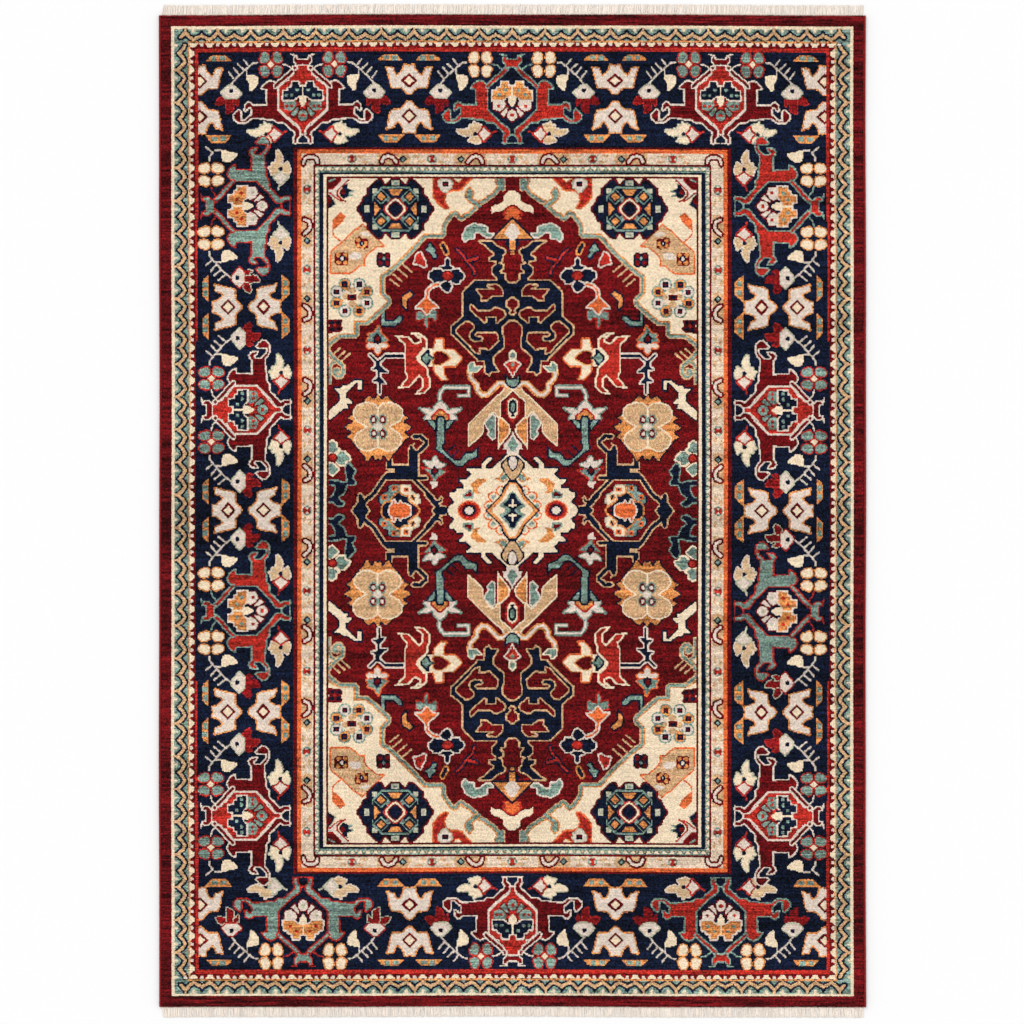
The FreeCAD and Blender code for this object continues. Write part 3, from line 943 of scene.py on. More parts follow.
def border_heart(pen, dyes):
    """The petalled heart inside a big border flower."""
    if dyes["inside"] == "red":
        pen.area("red", [
            (0, 34), (4.5, 33.5), (5, 30), (8, 28.5), (9, 24.5), (12.5, 22.5), (13.5, 19),
            (17, 18), (18.8, 15.8), (22, 14.2), (23.2, 12), (23.2, -9),
            (18, -14), (11, -20), (5, -25), (2.3, -28.5), (1.5, -33.5), (0, -34),
        ], "ivory", 1.5)
    pen.area(dyes["lobe"], [
        (8, -0.5), (19.6, -0.5), (18.8, -3), (18.5, -9.5), (12.5, -11.6), (8, -8.5), (6, -4.5),
    ], "maroon" if dyes["inside"] == "navy" else "red", 1.3)
    pen.area(dyes["lobe"], [(4, -7.2), (6.2, -8.6), (12, -14), (8.5, -17.2), (5.3, -12.5)], "maroon", 1.4)
    pen.dot(dyes["lobe"], 0, -15.8, 4.9, 5.4, "maroon", 1.4)
    pen.dot("red" if dyes["spot"] != "red" else "pale", 0, -15.6, 2.4, 1.8)
    pen.area(dyes["petal"], [
        (0, 13), (3.6, 13.2), (4.4, 17.8), (10.4, 17.8), (10.7, 12.6), (14.6, 11.6), (15, 9.2),
        (19.3, 8.6), (19.7, -0.4), (9.5, -0.4), (7, 1.5), (4, 3.5), (0, 4),
    ], "ivory", 1.5)
    if dyes["inside"] == "red":
        spots, lobe_spots = [(5.6, 9.8), (11, 4.8), (16.4, 4.6)], [11.2, 16]
    else:
        spots, lobe_spots = [(6.6, 9.8), (12.8, 5)], [13.5]
    for u, v in spots:
        pen.dot(dyes["spot"], u, v, 1.8, 1.7)
    for u in lobe_spots:
        pen.dot(dyes["lobe_spot"], u, -6.4, 1.6, 1.6)
    pen.line("cream", [(0, 14), (0, 2)], 1.4)
    pen.area("cream", [(0, 4.3), (2.8, 3.2), (4, 1), (3.5, -2.5), (1, -6.5), (0, -7.3)])
    pen.dot("navy", 4.9, 0, 1, 2)


def border_posy(pen, dyes):
    """The four-petalled flower beside the crown, and the leaves under the arm."""
    petals = pen.at(31.8, 35.4, mirror=True)
    petals = Pen(pen.chart, petals.frames + petals.at(0, 0, turn=2).frames)
    for grow, colour in ((1.3, dyes["flower_rim"]), (0, dyes["flower"])):
        petals.dot(colour, 6, 6.9, 4.2 + grow, 5.6 + grow)
        petals.dot(colour, 8, 4.9, 3.2 + grow)
    if dyes["eye"] == "cream":
        pen.diamond("red", 31.8, 35.5, 4.6, 5)
        pen.diamond("cream", 31.8, 35.5, 3.2, 3.6)
    else:
        pen.dot("navy", 31.8, 35.6, 3, 2.8)
    rim = dyes["leaf_rim"]
    pen.area(dyes["tail"], [
        (31, -25), (36, -24), (38.5, -22), (39.2, -25.8), (42.3, -25.3), (43.7, -29.5),
        (54.5, -29.8), (55.5, -31.5), (52, -34.5), (47, -36.5), (43, -35.5), (42, -33.3),
        (41, -37), (44, -41.5), (35, -44.2), (31, -42), (32.5, -38), (35, -36.5), (38.3, -36.5),
        (38.8, -33), (36.5, -32), (32, -32),
    ], dyes["tail_rim"], 1.1)
    pen.dot("navy", 37, -34.4, 2.2, 2)
    pen.area("ivory", [(21.5, -34), (25.5, -31.3), (29, -27.5), (30.3, -31), (33.3, -34.3),
                       (30.3, -38), (29, -41.5), (25, -37.8)], rim, 1.9)
    pen.line(rim, [(20, -33), (16, -31.5)], 1.8)


def border_spray(pen, dyes, whole=True):
    """The feathered stem with its leaf; when whole, the drooping flower at its end too."""
    stem = [(45.5, 37.3), (49.5, 37), (54, 33.2), (60, 28), (66, 22.5), (71.5, 16)]
    barbs = [
        [(54, 34), (59, 40.3)], [(59, 30.5), (65, 35.8)], [(64, 26), (69, 32)], [(69, 21.5), (74, 28)],
    ]
    pen.line("bone", stem if whole else stem[:3], 1.7)
    for barb in barbs if whole else barbs[:1]:
        pen.line("bone", barb, 1.7)
    pen.line("bone", [(56.3, 31.5), (55.8, 25.5)], 1.6)
    pen.area("cream", [
        (45, 23.5), (48.5, 24.8), (54, 25.3), (56.2, 25.5), (56, 20.5), (54, 17), (53.5, 12),
        (52.8, 8.5), (50, 9.5), (47, 12.8), (44.3, 16.5), (44, 21),
    ])
    if not whole:
        return
    pen.area("crimson", [(64.5, 0.5), (70, 1.5), (70.3, -2), (67, -3.5), (65, -6.5), (64.3, -3)],
             dyes["fan_rim"], 0.9)
    pen.area("crimson", [(75, 0.5), (79, 2), (81.5, 3.3), (85, 1), (87.3, -3.5), (84, -4.8),
                         (79, -3.5), (76, -3)], dyes["fan_rim"], 0.9)
    pen.area("crimson", [(70, 1), (76, 1), (76.8, -4), (76, -10), (76.5, -13.5), (74, -13),
                         (70, -10.5), (69.2, -7), (70, -3)], dyes["fan_rim"], 0.9)
    pen.area("ivory", [(61.5, 7), (65, 10), (69, 13.8), (72, 14.8), (75, 14), (78.5, 10.5),
                       (81.5, 7), (79.5, 5), (77.5, 2.5), (73, 2.3), (67, 2.3), (64.5, 3.5)],
             dyes["head_rim"], 1.4)
    pen.dot("navy", 71.7, 9.2, 2.3, 2.2)


def border_flower(pen, dyes, whole=(True, True)):
    """A big border flower with everything round it. whole says which sprays are complete."""
    both = Pen(pen.chart, pen.at(0, 0, mirror=True).frames)
    border_body(both, dyes)
    border_heart(both, dyes)
    border_posy(both, dyes)
    right, left = [Pen(pen.chart, [frame]) for frame in both.frames]
    border_spray(right, dyes, whole[0])
    border_spray(left, dyes, whole[1])


def border_beetles(pen):
    """A pair of winged figures back to back, with a gold bar above and below them."""
    both = Pen(pen.chart, pen.at(0, 0, mirror=True).frames)
    both.area("ivory", [
        (0, 5.5), (2, 6), (4.3, 9), (8, 11.6), (17, 11.8), (18.5, 16), (19.5, 22), (21, 27),
        (22.3, 31.3), (16.5, 30.5), (15, 26), (12.3, 22.3), (8.5, 26), (5.5, 29.8), (5, 34),
        (2, 33.5), (0, 32.5),
    ], "gold", 1.4)
    both.area("ivory", [
        (0, -2.5), (2.3, -3.3), (5, -7), (8.3, -10.5), (17.5, -11.6), (19.2, -16), (20.3, -22),
        (20.8, -27), (22.5, -30), (19, -28.3), (15.7, -27.5), (14.3, -23.8), (12, -22),
        (8.5, -24), (6, -29), (5.3, -33.3), (2, -33.6), (0, -32.7),
    ], "gold", 1.4)
    for v in (18.4, -17):
        both.diamond("maroon", 0, v, 8.4, 7.8)
        both.diamond("cream", 0, v, 5, 4.6)
    both.area("gold", [(6, 38.2), (32, 38.2), (28.5, 42.5), (24.5, 44.3), (12.5, 44.3), (9.5, 42)])
    both.area("gold", [(4.5, -35), (32, -35), (27.5, -41.3), (24.5, -43.5), (12.5, -43.5), (9, -40)])
    for u, v in ((14, 41.2), (22.5, 41.3), (14.5, -39.3), (23.5, -39)):
        both.box("teal", u - 2.6, v - 2.2, u + 2.6, v + 2.2)


def paint_main_border(pen):
    """The navy border and its parade of big flowers and beetles."""
    half_x, half_y = MAIN_BORDER
    pen.box("navy", -half_x - 5, -half_y - 5, half_x + 5, half_y + 5)
    top, bottom, left, right = 411, -410.5, -266, 266
    for x in (-312.5, -103, 103, 312.5):
        border_beetles(pen.at(x, top + 0.5))
        border_beetles(pen.at(x, bottom - 0.5, turn=2))
    for y in (204, 0.5, -201):
        border_beetles(pen.at(left, y, turn=1))
        border_beetles(pen.at(right, y, turn=3))
    for x, upper, lower in (
        (-209.5, DARK_DYES, TEAL_DYES), (0, RED_DYES, DARK_DYES), (208.5, DARK_DYES, RED_DYES),
    ):
        border_flower(pen.at(x, top), upper)
        border_flower(pen.at(x, bottom, turn=2), lower)
    for y, near, far in (
        (305, TEAL_DYES, RED_DYES), (101, DARK_DYES, DARK_DYES),
        (-100, RED_DYES, TEAL_DYES), (-305, DARK_DYES, DARK_DYES),
    ):
        border_flower(pen.at(left, y, turn=1), near, (y < 300, y > -300))
        border_flower(pen.at(right, y, turn=3), far, (y > -300, y < 300))


def wave_guard(pen, reach, base, peak_depth, light, first, blobs_first):
    """One side of the wave guard, as far as reach: a tan zigzag edged in navy on teal, with
    spots of half width light in its outer bays and a barber stripe inside it. v is 0 at its
    outer edge, base is where its inner line is, peak_depth is how far in the zigzag's small
    peaks stay, first is where a neck is, and blobs_first where a blob of the stripe is."""
    pitch = 32.7
    dip = 13.4
    pen.box("teal", -reach, 0.4 - base, reach, -2.6)
    count = int(reach / pitch) + 1
    necks = [first + k * pitch for k in range(-count, count + 1)]
    zigzag = []
    for neck in necks:
        for u, v in ((0, 6), (4.6, dip - 2.4), (8.4, dip), (12.2, dip - 2), (16.35, peak_depth),
                     (20.5, dip - 2), (24.3, dip), (28.1, dip - 2.4)):
            if abs(neck + u) < reach - 3.5:
                zigzag.append((neck + u, -v))
    pen.line("navy", zigzag, 7)
    for neck in necks:
        peak = neck + pitch / 2
        if abs(peak) < reach - 4:
            pen.area("navy", [
                (peak - 6, 2 - dip), (peak - 0.8, -3.6), (peak + 0.8, -3.6), (peak + 6, 2 - dip),
            ])
        if abs(neck) < reach:
            pen.line("navy", [(neck, -6.5), (neck, -5.4)], 6.4)
        for bay in (neck - 8.2, neck + 8.2):
            if abs(bay) < reach - 6:
                spot = [(bay - light, -2.6), (bay + light, -2.6), (bay + 0.8, -7), (bay - 0.8, -7)]
                pen.area("pale", spot)
                pen.line("cream", [(bay, -2.6), (bay, -5.4)], light - 1.4)
    pen.line("tan", zigzag, 3)
    for neck in necks:
        if abs(neck) < reach:
            pen.line("tan", [(neck, -7), (neck, -3)], 2.4)
        peak = neck + pitch / 2
        if abs(peak) < reach:
            top = peak_depth - 2.6
            pen.area("tan", [(peak - 4.5, 2 - dip), (peak, -top), (peak + 4.5, 2 - dip), (peak, -peak_depth)])
    count = 2 * count
    for k in range(-count, count + 1):
        at_u = blobs_first + k * pitch / 2
        place = pen.at(at_u, -base)
        if abs(at_u) < reach - 14:
            place.line("gold", [(-5.4, 0.3), (5.4, 0.3)], 1.1)
            place.area("cream", [(-5, -0.8), (5, -0.8), (1.6, -5.4), (-1.6, -5.4)])
            place.area("ivory", [(6.2, -1.4), (10.2, -1.4), (9.4, -4.6), (7, -4.6)])


# The spots where the ground of the beige guard turns tan, along it and across it.
MOTTLES = [(9, 2.5), (14, -3.2), (66, 3), (70, -2.4), (90, -3), (94, 3.4), (149, -2.8), (153, 2.6)]


def inner_guard(pen, half_length, arch):
    """One side of the beige guard: eyes, crescents and ringed dots on mottled ground. v is 0
    in its middle."""
    pitch = 80.3
    count = int(half_length / pitch) + 1
    for k in range(-count, count + 1):
        side = pen.at(k * pitch, 0)
        if k % 2 == 0:
            for u, v in MOTTLES:
                if abs(k * pitch + u) < half_length:
                    side.area("tan", [(u - 5, v), (u - 2, v + 2), (u + 1, v + 0.8), (u + 4.6, v + 1.4),
                                      (u + 2, v - 0.6), (u, v - 2)])
        if abs(k * pitch) < half_length:
            side.dot("teal", 0, 0, 4.9, 4.6)
            side.dot("oat", 0, 0, 3.4, 2)
            side.area("red", [(-3.4, 3.4), (3.4, 3.4), (1.4, 0), (-1.4, 0)])
            side.area("red", [(-3.4, -3.4), (3.4, -3.4), (1.4, 0), (-1.4, 0)])
        for way in (-1, 1):
            if k % 2 or abs((k + 0.5 * way) * pitch) > half_length:
                continue
            side.area("tan", [
                (way * 25, -5.6), (way * 57, -5.6), (way * 59, 0), (way * 56, 5.6), (way * 26, 5.6),
            ])
            crescent = [(way * 30, -2.6 * arch), (way * 32, 1.8 * arch), (way * 36.5, 3.4 * arch),
                        (way * 41, 1.6 * arch), (way * 44.5, -2.8 * arch)]
            side.line("maroon", crescent, 6.8)
            side.line("ivory", crescent, 2.6)
            side.diamond("navy", way * 51.3, 0, 4.4, 4.4)
            side.diamond("teal", way * 51.3, 0, 2.2, 2.2)


def tooth_stripe(pen, half_length):
    """One side of the narrow cream stripe of teal teeth. v is 0 in its middle."""
    pitch = 7.8
    count = int(half_length / pitch)
    pen.box("cream", -half_length - 2, -1.4, half_length + 2, 2)
    for k in range(-count, count + 1):
        tooth = pen.at(k * pitch, 0)
        tooth.area("teal", [(-3.4, -2), (3.4, -2), (1.3, 1.7), (-1.3, 1.7)])
        tooth.dot("straw", 0, -0.4, 1, 1)


def four_sides(pen, half_x, half_y):
    """Pens on the right, top, left and bottom of a rectangle, with the sides' half lengths."""
    return [
        (pen.at(half_x, 0, turn=3), half_y), (pen.at(0, half_y), half_x),
        (pen.at(-half_x, 0, turn=1), half_y), (pen.at(0, -half_y, turn=2), half_x),
    ]


def draw_chart():
    """The whole rug as one yarn number per knot."""
    chart = np.zeros((ROWS, COLUMNS), np.uint8)
    whole = Pen(chart, [(0, 0, 1, 0, 0, 1)])
    half = whole.at(0, 0, mirror=True)
    quarter = Pen(chart, half.frames + half.at(0, 0, turn=2).frames)
    draw_upper_field(quarter)
    draw_lower_field(quarter)
    field = chart.copy()

    paint_main_border(whole)
    main_border = chart.copy()

    paint_bands(whole, OUTER_BANDS)
    right, top, left, bottom = [pen for pen, _ in four_sides(whole, 340.8, 485.1)]
    for pen in (right, left):
        wave_guard(pen, 472, 17.3, 7.8, 2.6, 16.35, 0)
    for pen in (top, bottom):
        wave_guard(pen, 338.1, 15.9, 9.4, 3.8, 0, 8.2)
    main = window(*MAIN_BORDER)
    for half_x, half_y in WIDE_PARTS:
        main |= window(half_x, half_y)
    chart[main] = main_border[main]

    paint_bands(whole, INNER_BANDS)
    for pen, half_length in four_sides(whole, 205.4, 351.3):
        inner_guard(pen, half_length - 12, -1 if half_length > 300 else 1)
    for pen, half_length in four_sides(whole, 195.2, 341):
        tooth_stripe(pen, half_length)
    corner = [(-209, 346.6), (-208, 351.5), (-204.5, 353.6), (-198.5, 353.6), (-195.6, 351.5), (-195, 347.6)]
    quarter.line("maroon", corner, 6.4)
    quarter.line("ivory", corner, 2.4)
    chart[window(*FIELD)] = field[window(*FIELD)]
    return chart


# ---- Pieces ----

KNOT_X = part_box("foundation_weave")[1].x / HALF_COLUMNS
KNOT_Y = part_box("foundation_weave")[1].y / HALF_ROWS
PILE_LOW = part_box("pile_field")[0].z
PILE_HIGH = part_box("pile_field")[1].z

random = np.random.default_rng(478)


def bow(points):
    """The slight waviness of a rug that lies unstretched; every piece has the same."""
    x = points[..., 0].copy()
    y = points[..., 1].copy()
    points[..., 0] += 0.0006 * np.sin(4.3 * y + 0.7) + 0.0003 * np.sin(11 * y + 2 * x)
    points[..., 1] += 0.0012 * np.sin(3.1 * x + 1.9) + 0.0005 * np.sin(9 * x - 1.5 * y)
    return points


def make_mesh(name, points, quads, polygons=(), colours=None):
    """A mesh object from arrays: quads, then polygons of any size, with a colour for each."""
    mesh = bpy.data.meshes.new(name)
    corners = np.concatenate([np.ravel(quads)] + [np.asarray(p) for p in polygons])
    sizes = np.array([4] * len(quads) + [len(p) for p in polygons])
    starts = np.cumsum(sizes) - sizes
    mesh.vertices.add(len(points))
    mesh.vertices.foreach_set("co", np.ravel(points).astype(np.float32))
    mesh.loops.add(len(corners))
    mesh.loops.foreach_set("vertex_index", corners.astype(np.int32))
    mesh.polygons.add(len(sizes))
    mesh.polygons.foreach_set("loop_start", starts.astype(np.int32))
    mesh.update(calc_edges=True)
    if colours is not None:
        layer = mesh.color_attributes.new("yarn", "BYTE_COLOR", "CORNER")
        full = np.ones((len(sizes), 4), np.float32)
        full[:, :3] = colours
        layer.data.foreach_set("color_srgb", np.repeat(full, sizes, axis=0).ravel())
    piece = bpy.data.objects.new(name, mesh)
    bpy.context.scene.collection.objects.link(piece)
    return piece


def fit(piece, material, slot, *nodes):
    """Give a piece its material and its place on the body, and hide the CAD nodes it stands for."""
    piece.data.materials.append(material)
    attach(piece, "root")
    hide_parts(*nodes)
    return piece


# Materials.

def new_material(name):
    """A node material with its shader, to build on."""
    material = bpy.data.materials.new(name)
    material.use_nodes = True
    return material, material.node_tree, material.node_tree.nodes["Principled BSDF"]


def add_noise(tree, scale, detail=2.0, stretch=(1, 1, 1)):
    """A noise texture in object space; scale is waves to the metre."""
    place = tree.nodes.new("ShaderNodeTexCoord")
    mapping = tree.nodes.new("ShaderNodeMapping")
    mapping.inputs["Scale"].default_value = stretch
    noise = tree.nodes.new("ShaderNodeTexNoise")
    noise.inputs["Scale"].default_value = scale
    noise.inputs["Detail"].default_value = detail
    tree.links.new(place.outputs["Object"], mapping.inputs["Vector"])
    tree.links.new(mapping.outputs["Vector"], noise.inputs["Vector"])
    return noise


def shade_by_noise(tree, colour_output, noise, low, high):
    """The colour, darker and lighter from place to place with the noise."""
    spread = tree.nodes.new("ShaderNodeMapRange")
    spread.inputs["From Min"].default_value = 0.25
    spread.inputs["From Max"].default_value = 0.75
    spread.inputs["To Min"].default_value = low
    spread.inputs["To Max"].default_value = high
    scaled = tree.nodes.new("ShaderNodeVectorMath")
    scaled.operation = "SCALE"
    tree.links.new(noise.outputs["Fac"], spread.inputs["Value"])
    tree.links.new(colour_output, scaled.inputs[0])
    tree.links.new(spread.outputs["Result"], scaled.inputs["Scale"])
    return scaled.outputs["Vector"]


def add_bump(tree, shader, height_output, distance, strength=0.6):
    """Bump from a height; the distance is in metres."""
    bump = tree.nodes.new("ShaderNodeBump")
    bump.inputs["Distance"].default_value = distance
    bump.inputs["Strength"].default_value = strength
    tree.links.new(height_output, bump.inputs["Height"])
    tree.links.new(bump.outputs["Normal"], shader.inputs["Normal"])


def pile_material():
    """Cut wool-like pile: each tuft's dyed colour, broken up by its fibre tips."""
    material, tree, shader = new_material("pile_yarn")
    yarn = tree.nodes.new("ShaderNodeAttribute")
    yarn.attribute_name = "yarn"
    tips = add_noise(tree, 1400, 3)
    shaded = shade_by_noise(tree, yarn.outputs["Color"], tips, 0.82, 1.18)
    tree.links.new(shaded, shader.inputs["Base Color"])
    add_bump(tree, shader, tips.outputs["Fac"], 0.0005)
    shader.inputs["Roughness"].default_value = 0.95
    shader.inputs["Specular IOR Level"].default_value = 0.05
    shader.inputs["Sheen Weight"].default_value = 0.04
    shader.inputs["Sheen Roughness"].default_value = 0.5
    return material


def yarn_material(name, roughness, wave, low, high, stretch):
    """Spun yarn with a colour of its own in each place, and fine fibres along its length."""
    material, tree, shader = new_material(name)
    yarn = tree.nodes.new("ShaderNodeAttribute")
    yarn.attribute_name = "yarn"
    fibres = add_noise(tree, wave, 3, stretch)
    shaded = shade_by_noise(tree, yarn.outputs["Color"], fibres, low, high)
    tree.links.new(shaded, shader.inputs["Base Color"])
    add_bump(tree, shader, fibres.outputs["Fac"], 0.0003)
    shader.inputs["Roughness"].default_value = roughness
    shader.inputs["Specular IOR Level"].default_value = 0.2
    return material


def cord_material():
    """Twisted cotton, for the cords inside the overcast sides."""
    material, tree, shader = new_material("warp_cotton")
    shader.inputs["Roughness"].default_value = 0.9
    fibres = add_noise(tree, 900, 3, (1, 0.3, 1))
    ramp = tree.nodes.new("ShaderNodeValToRGB")
    ramp.color_ramp.elements[0].color = (0.42, 0.34, 0.24, 1)
    ramp.color_ramp.elements[1].color = (0.78, 0.68, 0.52, 1)
    tree.links.new(fibres.outputs["Fac"], ramp.inputs["Fac"])
    tree.links.new(ramp.outputs["Color"], shader.inputs["Base Color"])
    add_bump(tree, shader, fibres.outputs["Fac"], 0.0004)
    return material


def floor_material():
    """Plain pale floor."""
    material, _, shader = new_material("floor_paint")
    shader.inputs["Base Color"].default_value = (0.9, 0.9, 0.9, 1)
    shader.inputs["Roughness"].default_value = 0.9
    shader.inputs["Specular IOR Level"].default_value = 0.1
    return material


# The pile.

def streaks(row_step, column_step):
    """Smooth random values over the chart, spread about 1, stretched along the rows."""
    rows = np.linspace(0, ROWS / row_step, ROWS)
    columns = np.linspace(0, COLUMNS / column_step, COLUMNS)
    coarse = random.normal(0, 1.4, (int(rows[-1]) + 2, int(columns[-1]) + 2))
    low_row = rows.astype(int)
    low_column = columns.astype(int)
    part_row = (rows - low_row)[:, None]
    part_column = (columns - low_column)[None, :]
    part_row = part_row * part_row * (3 - 2 * part_row)
    part_column = part_column * part_column * (3 - 2 * part_column)
    upper = coarse[low_row + 1]
    lower = coarse[low_row]
    first = lower[:, low_column] * (1 - part_column) + lower[:, low_column + 1] * part_column
    second = upper[:, low_column] * (1 - part_column) + upper[:, low_column + 1] * part_column
    return first * (1 - part_row) + second * part_row


# How much each yarn's lightness varies, as a share of it: along the rows, as dye lots and
# tension change, and from tuft to tuft.
VARIATION = {
    "maroon": (0.15, 0.28),
    "red": (0.13, 0.22),
    "orange": (0.1, 0.16),
    "gold": (0.12, 0.17),
    "tan": (0.06, 0.12),
    "cream": (0.024, 0.06),
    "ivory": (0.03, 0.07),
    "teal": (0.13, 0.17),
    "pale": (0.06, 0.11),
    "navy": (0.2, 0.42),
    "crimson": (0.13, 0.25),
    "straw": (0.05, 0.09),
    "bone": (0.05, 0.09),
    "oat": (0.05, 0.09),
    "edge": (0.24, 0.24),
}


def tuft_colours(chart):
    """The sRGB colour of every tuft, from its yarn, the streaks of its row and chance."""
    palette = np.array([YARNS[name] for name in NAMES]) / 255
    along_rows = np.array([VARIATION[name][0] for name in NAMES])[chart]
    by_tuft = np.array([VARIATION[name][1] for name in NAMES])[chart]
    rows = 0.85 * streaks(1, 18) + 0.35 * streaks(5, 110) + 0.35 * streaks(40, 300)
    change = along_rows * np.clip(rows, -2, 2)
    change += by_tuft * np.clip(random.normal(0, 1, chart.shape), -2, 2)
    change = change[..., None] + 0.25 * by_tuft[..., None] * random.normal(0, 1, (*chart.shape, 3))
    return np.clip(palette[chart] * (1 + change), 0, 1)


def pile_grid():
    """The corners of all the tufts: the whole pile's top, as rows and columns of points."""
    x = (np.arange(COLUMNS + 1) - HALF_COLUMNS) * KNOT_X
    y = (np.arange(ROWS + 1) - HALF_ROWS) * KNOT_Y
    points = np.empty((ROWS + 1, COLUMNS + 1, 3))
    points[..., 0] = x[None, :]
    points[..., 1] = y[:, None]
    points[..., 0] += random.uniform(-0.25, 0.25, points.shape[:2]) * KNOT_X
    points[..., 1] += random.uniform(-0.25, 0.25, points.shape[:2]) * KNOT_Y
    lost = 0.0005 * random.random(points.shape[:2])
    lost += 0.0003 * random.random((ROWS + 1, 1))
    rows_in = np.minimum(np.arange(ROWS + 1), np.arange(ROWS + 1)[::-1])
    columns_in = np.minimum(np.arange(COLUMNS + 1), np.arange(COLUMNS + 1)[::-1])
    inwards = np.minimum(rows_in[:, None], columns_in[None, :])
    lost += 0.0028 * np.exp(-inwards / 1.3)
    points[..., 2] = PILE_HIGH - lost
    return bow(points)


def rectangle_sides(half_columns, half_rows):
    """The grid corners round a rectangle, anticlockwise, as four lists with both ends."""
    left, right = HALF_COLUMNS - half_columns, HALF_COLUMNS + half_columns
    low, high = HALF_ROWS - half_rows, HALF_ROWS + half_rows
    across = np.arange(left, right + 1)
    along = np.arange(low, high + 1)
    places = [
        (np.full(len(across), low), across),
        (along, np.full(len(along), right)),
        (np.full(len(across), high), across[::-1]),
        (along[::-1], np.full(len(along), left)),
    ]
    return [rows * (COLUMNS + 1) + columns for rows, columns in places]


def pile_zone(name, grid, colours, outer, inner=None):
    """One zone of the pile as a closed slab: its tufts, its walls and its backing."""
    rows = np.arange(ROWS)[:, None]
    columns = np.arange(COLUMNS)[None, :]
    from_middle_x = abs(columns - HALF_COLUMNS + 0.5)
    from_middle_y = abs(rows - HALF_ROWS + 0.5)
    mask = (from_middle_y < outer[1]) & (from_middle_x < outer[0])
    if inner:
        mask = mask & ~((from_middle_y < inner[1]) & (from_middle_x < inner[0]))
    first = (rows * (COLUMNS + 1) + columns)[mask]
    quads = [np.stack([first, first + 1, first + COLUMNS + 2, first + COLUMNS + 1], axis=1)]
    paint = [colours[mask]]
    points = grid.reshape(-1, 3)
    count = len(points)
    backing = points.copy()
    backing[:, 2] = PILE_LOW
    outer_sides = rectangle_sides(*outer)
    loops = [(outer_sides, 1, outer)]
    if inner:
        inner_sides = rectangle_sides(*inner)
        loops.append((inner_sides, -1, inner))
        polygons = []
        for far, near in zip(outer_sides, inner_sides):
            polygons.append(np.concatenate([far, near[::-1]])[::-1] + count)
    else:
        polygons = [np.concatenate([side[:-1] for side in outer_sides])[::-1] + count]
    for sides, way, half in loops:
        for side in sides:
            a, b = side[:-1], side[1:]
            wall = np.stack([a + count, b + count, b, a], axis=1)
            quads.append(wall if way > 0 else wall[:, ::-1])
            middle_row = (a // (COLUMNS + 1) + b // (COLUMNS + 1)) // 2
            middle_column = (a % (COLUMNS + 1) + b % (COLUMNS + 1)) // 2
            # Each wall is painted a fifth darker than the tuft beside it: painted shade on the pile's sides.
            shade = colours[np.clip(middle_row, 0, ROWS - 1), np.clip(middle_column, 0, COLUMNS - 1)]
            paint.append(0.8 * shade)
    # The backing under each zone is painted dark grey: painted shade beneath the pile, not a yarn colour.
    paint.append(np.full((len(polygons), 3), 0.3))
    quads = np.concatenate(quads)
    everything = np.concatenate([points, backing])
    used, corners = np.unique(
        np.concatenate([quads.ravel()] + polygons), return_inverse=True
    )
    quads = corners[:quads.size].reshape(-1, 4)
    start = quads.size
    renumbered = []
    for polygon in polygons:
        renumbered.append(corners[start:start + len(polygon)])
        start += len(polygon)
    return make_mesh(name, everything[used], quads, renumbered, np.concatenate(paint))


def make_pile():
    """The four zones of the pile, each a slab of tufts that meets the next."""
    chart = draw_chart()
    colours = tuft_colours(chart)
    grid = pile_grid()
    material = pile_material()
    zones = [
        ("edge_band_pile", "pile_edge_band", "pile_dark_red", (351, 496), (341, 486)),
        ("outer_guard_pile", "pile_outer_guard", "pile_guard", (341, 486), (313, 459)),
        ("main_border_pile", "pile_main_border", "pile_navy", (313, 459), (219, 363)),
        ("field_pile", "pile_field", "pile_field", (219, 363), None),
    ]
    made = []
    for name, node, slot, outer, inner in zones:
        piece = pile_zone(name, grid, colours, outer, inner)
        made.append(fit(piece, material, slot, node))
    return chart, made


# The ground weave, whose underside shows the pattern in faded bars.

def make_ground(chart):
    """The woven ground: wefts rib its underside, and the back of each pair of knots shows."""
    low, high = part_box("foundation_weave")
    rows, columns = ROWS // 2, COLUMNS // 2
    x = np.linspace(low.x, high.x, columns + 1)
    y = np.linspace(low.y, high.y, rows + 1)
    points = np.empty((rows + 1, columns + 1, 3))
    points[..., 0] = x[None, :]
    points[..., 1] = y[:, None]
    points[..., 2] = 0.0004 * (np.arange(rows + 1) % 2)[:, None] + 0.0002 * random.random(points.shape[:2])
    points = bow(points)
    stride = columns + 1
    number = np.arange(points.shape[0] * stride).reshape(points.shape[:2])
    quads = [np.stack([
        number[:-1, :-1].ravel(), number[1:, :-1].ravel(), number[1:, 1:].ravel(), number[:-1, 1:].ravel(),
    ], axis=1)]
    palette = np.array([YARNS[name] for name in NAMES]) / 255
    seen = palette[chart[::2, ::2][:rows, :columns]]
    seen = 0.62 * seen + 0.38 * np.array([0.66, 0.58, 0.47])
    seen = seen * (1 + 0.06 * random.normal(0, 1, seen.shape[:2]))[..., None]
    paint = [np.clip(seen, 0, 1).reshape(-1, 3)]
    edge = np.concatenate([number[0, :-1], number[:-1, -1], number[-1, :0:-1], number[:0:-1, 0]])
    flat = points.reshape(-1, 3)
    top = flat[edge].copy()
    top[:, 2] = high.z
    raised = len(flat) + np.arange(len(edge))
    quads.append(np.stack([edge, np.roll(edge, -1), np.roll(raised, -1), raised], axis=1))
    paint.append(np.tile([0.72, 0.64, 0.52], (len(edge), 1)))
    paint.append(np.array([[0.72, 0.64, 0.52]]))
    piece = make_mesh(
        "ground_weave", np.concatenate([flat, top]), np.concatenate(quads), [raised], np.concatenate(paint)
    )
    material = yarn_material("ground_yarn", 0.9, 700, 0.78, 1.15, (1, 2.5, 1))
    return fit(piece, material, "ground_weave", "foundation_weave")


# The overcast sides.

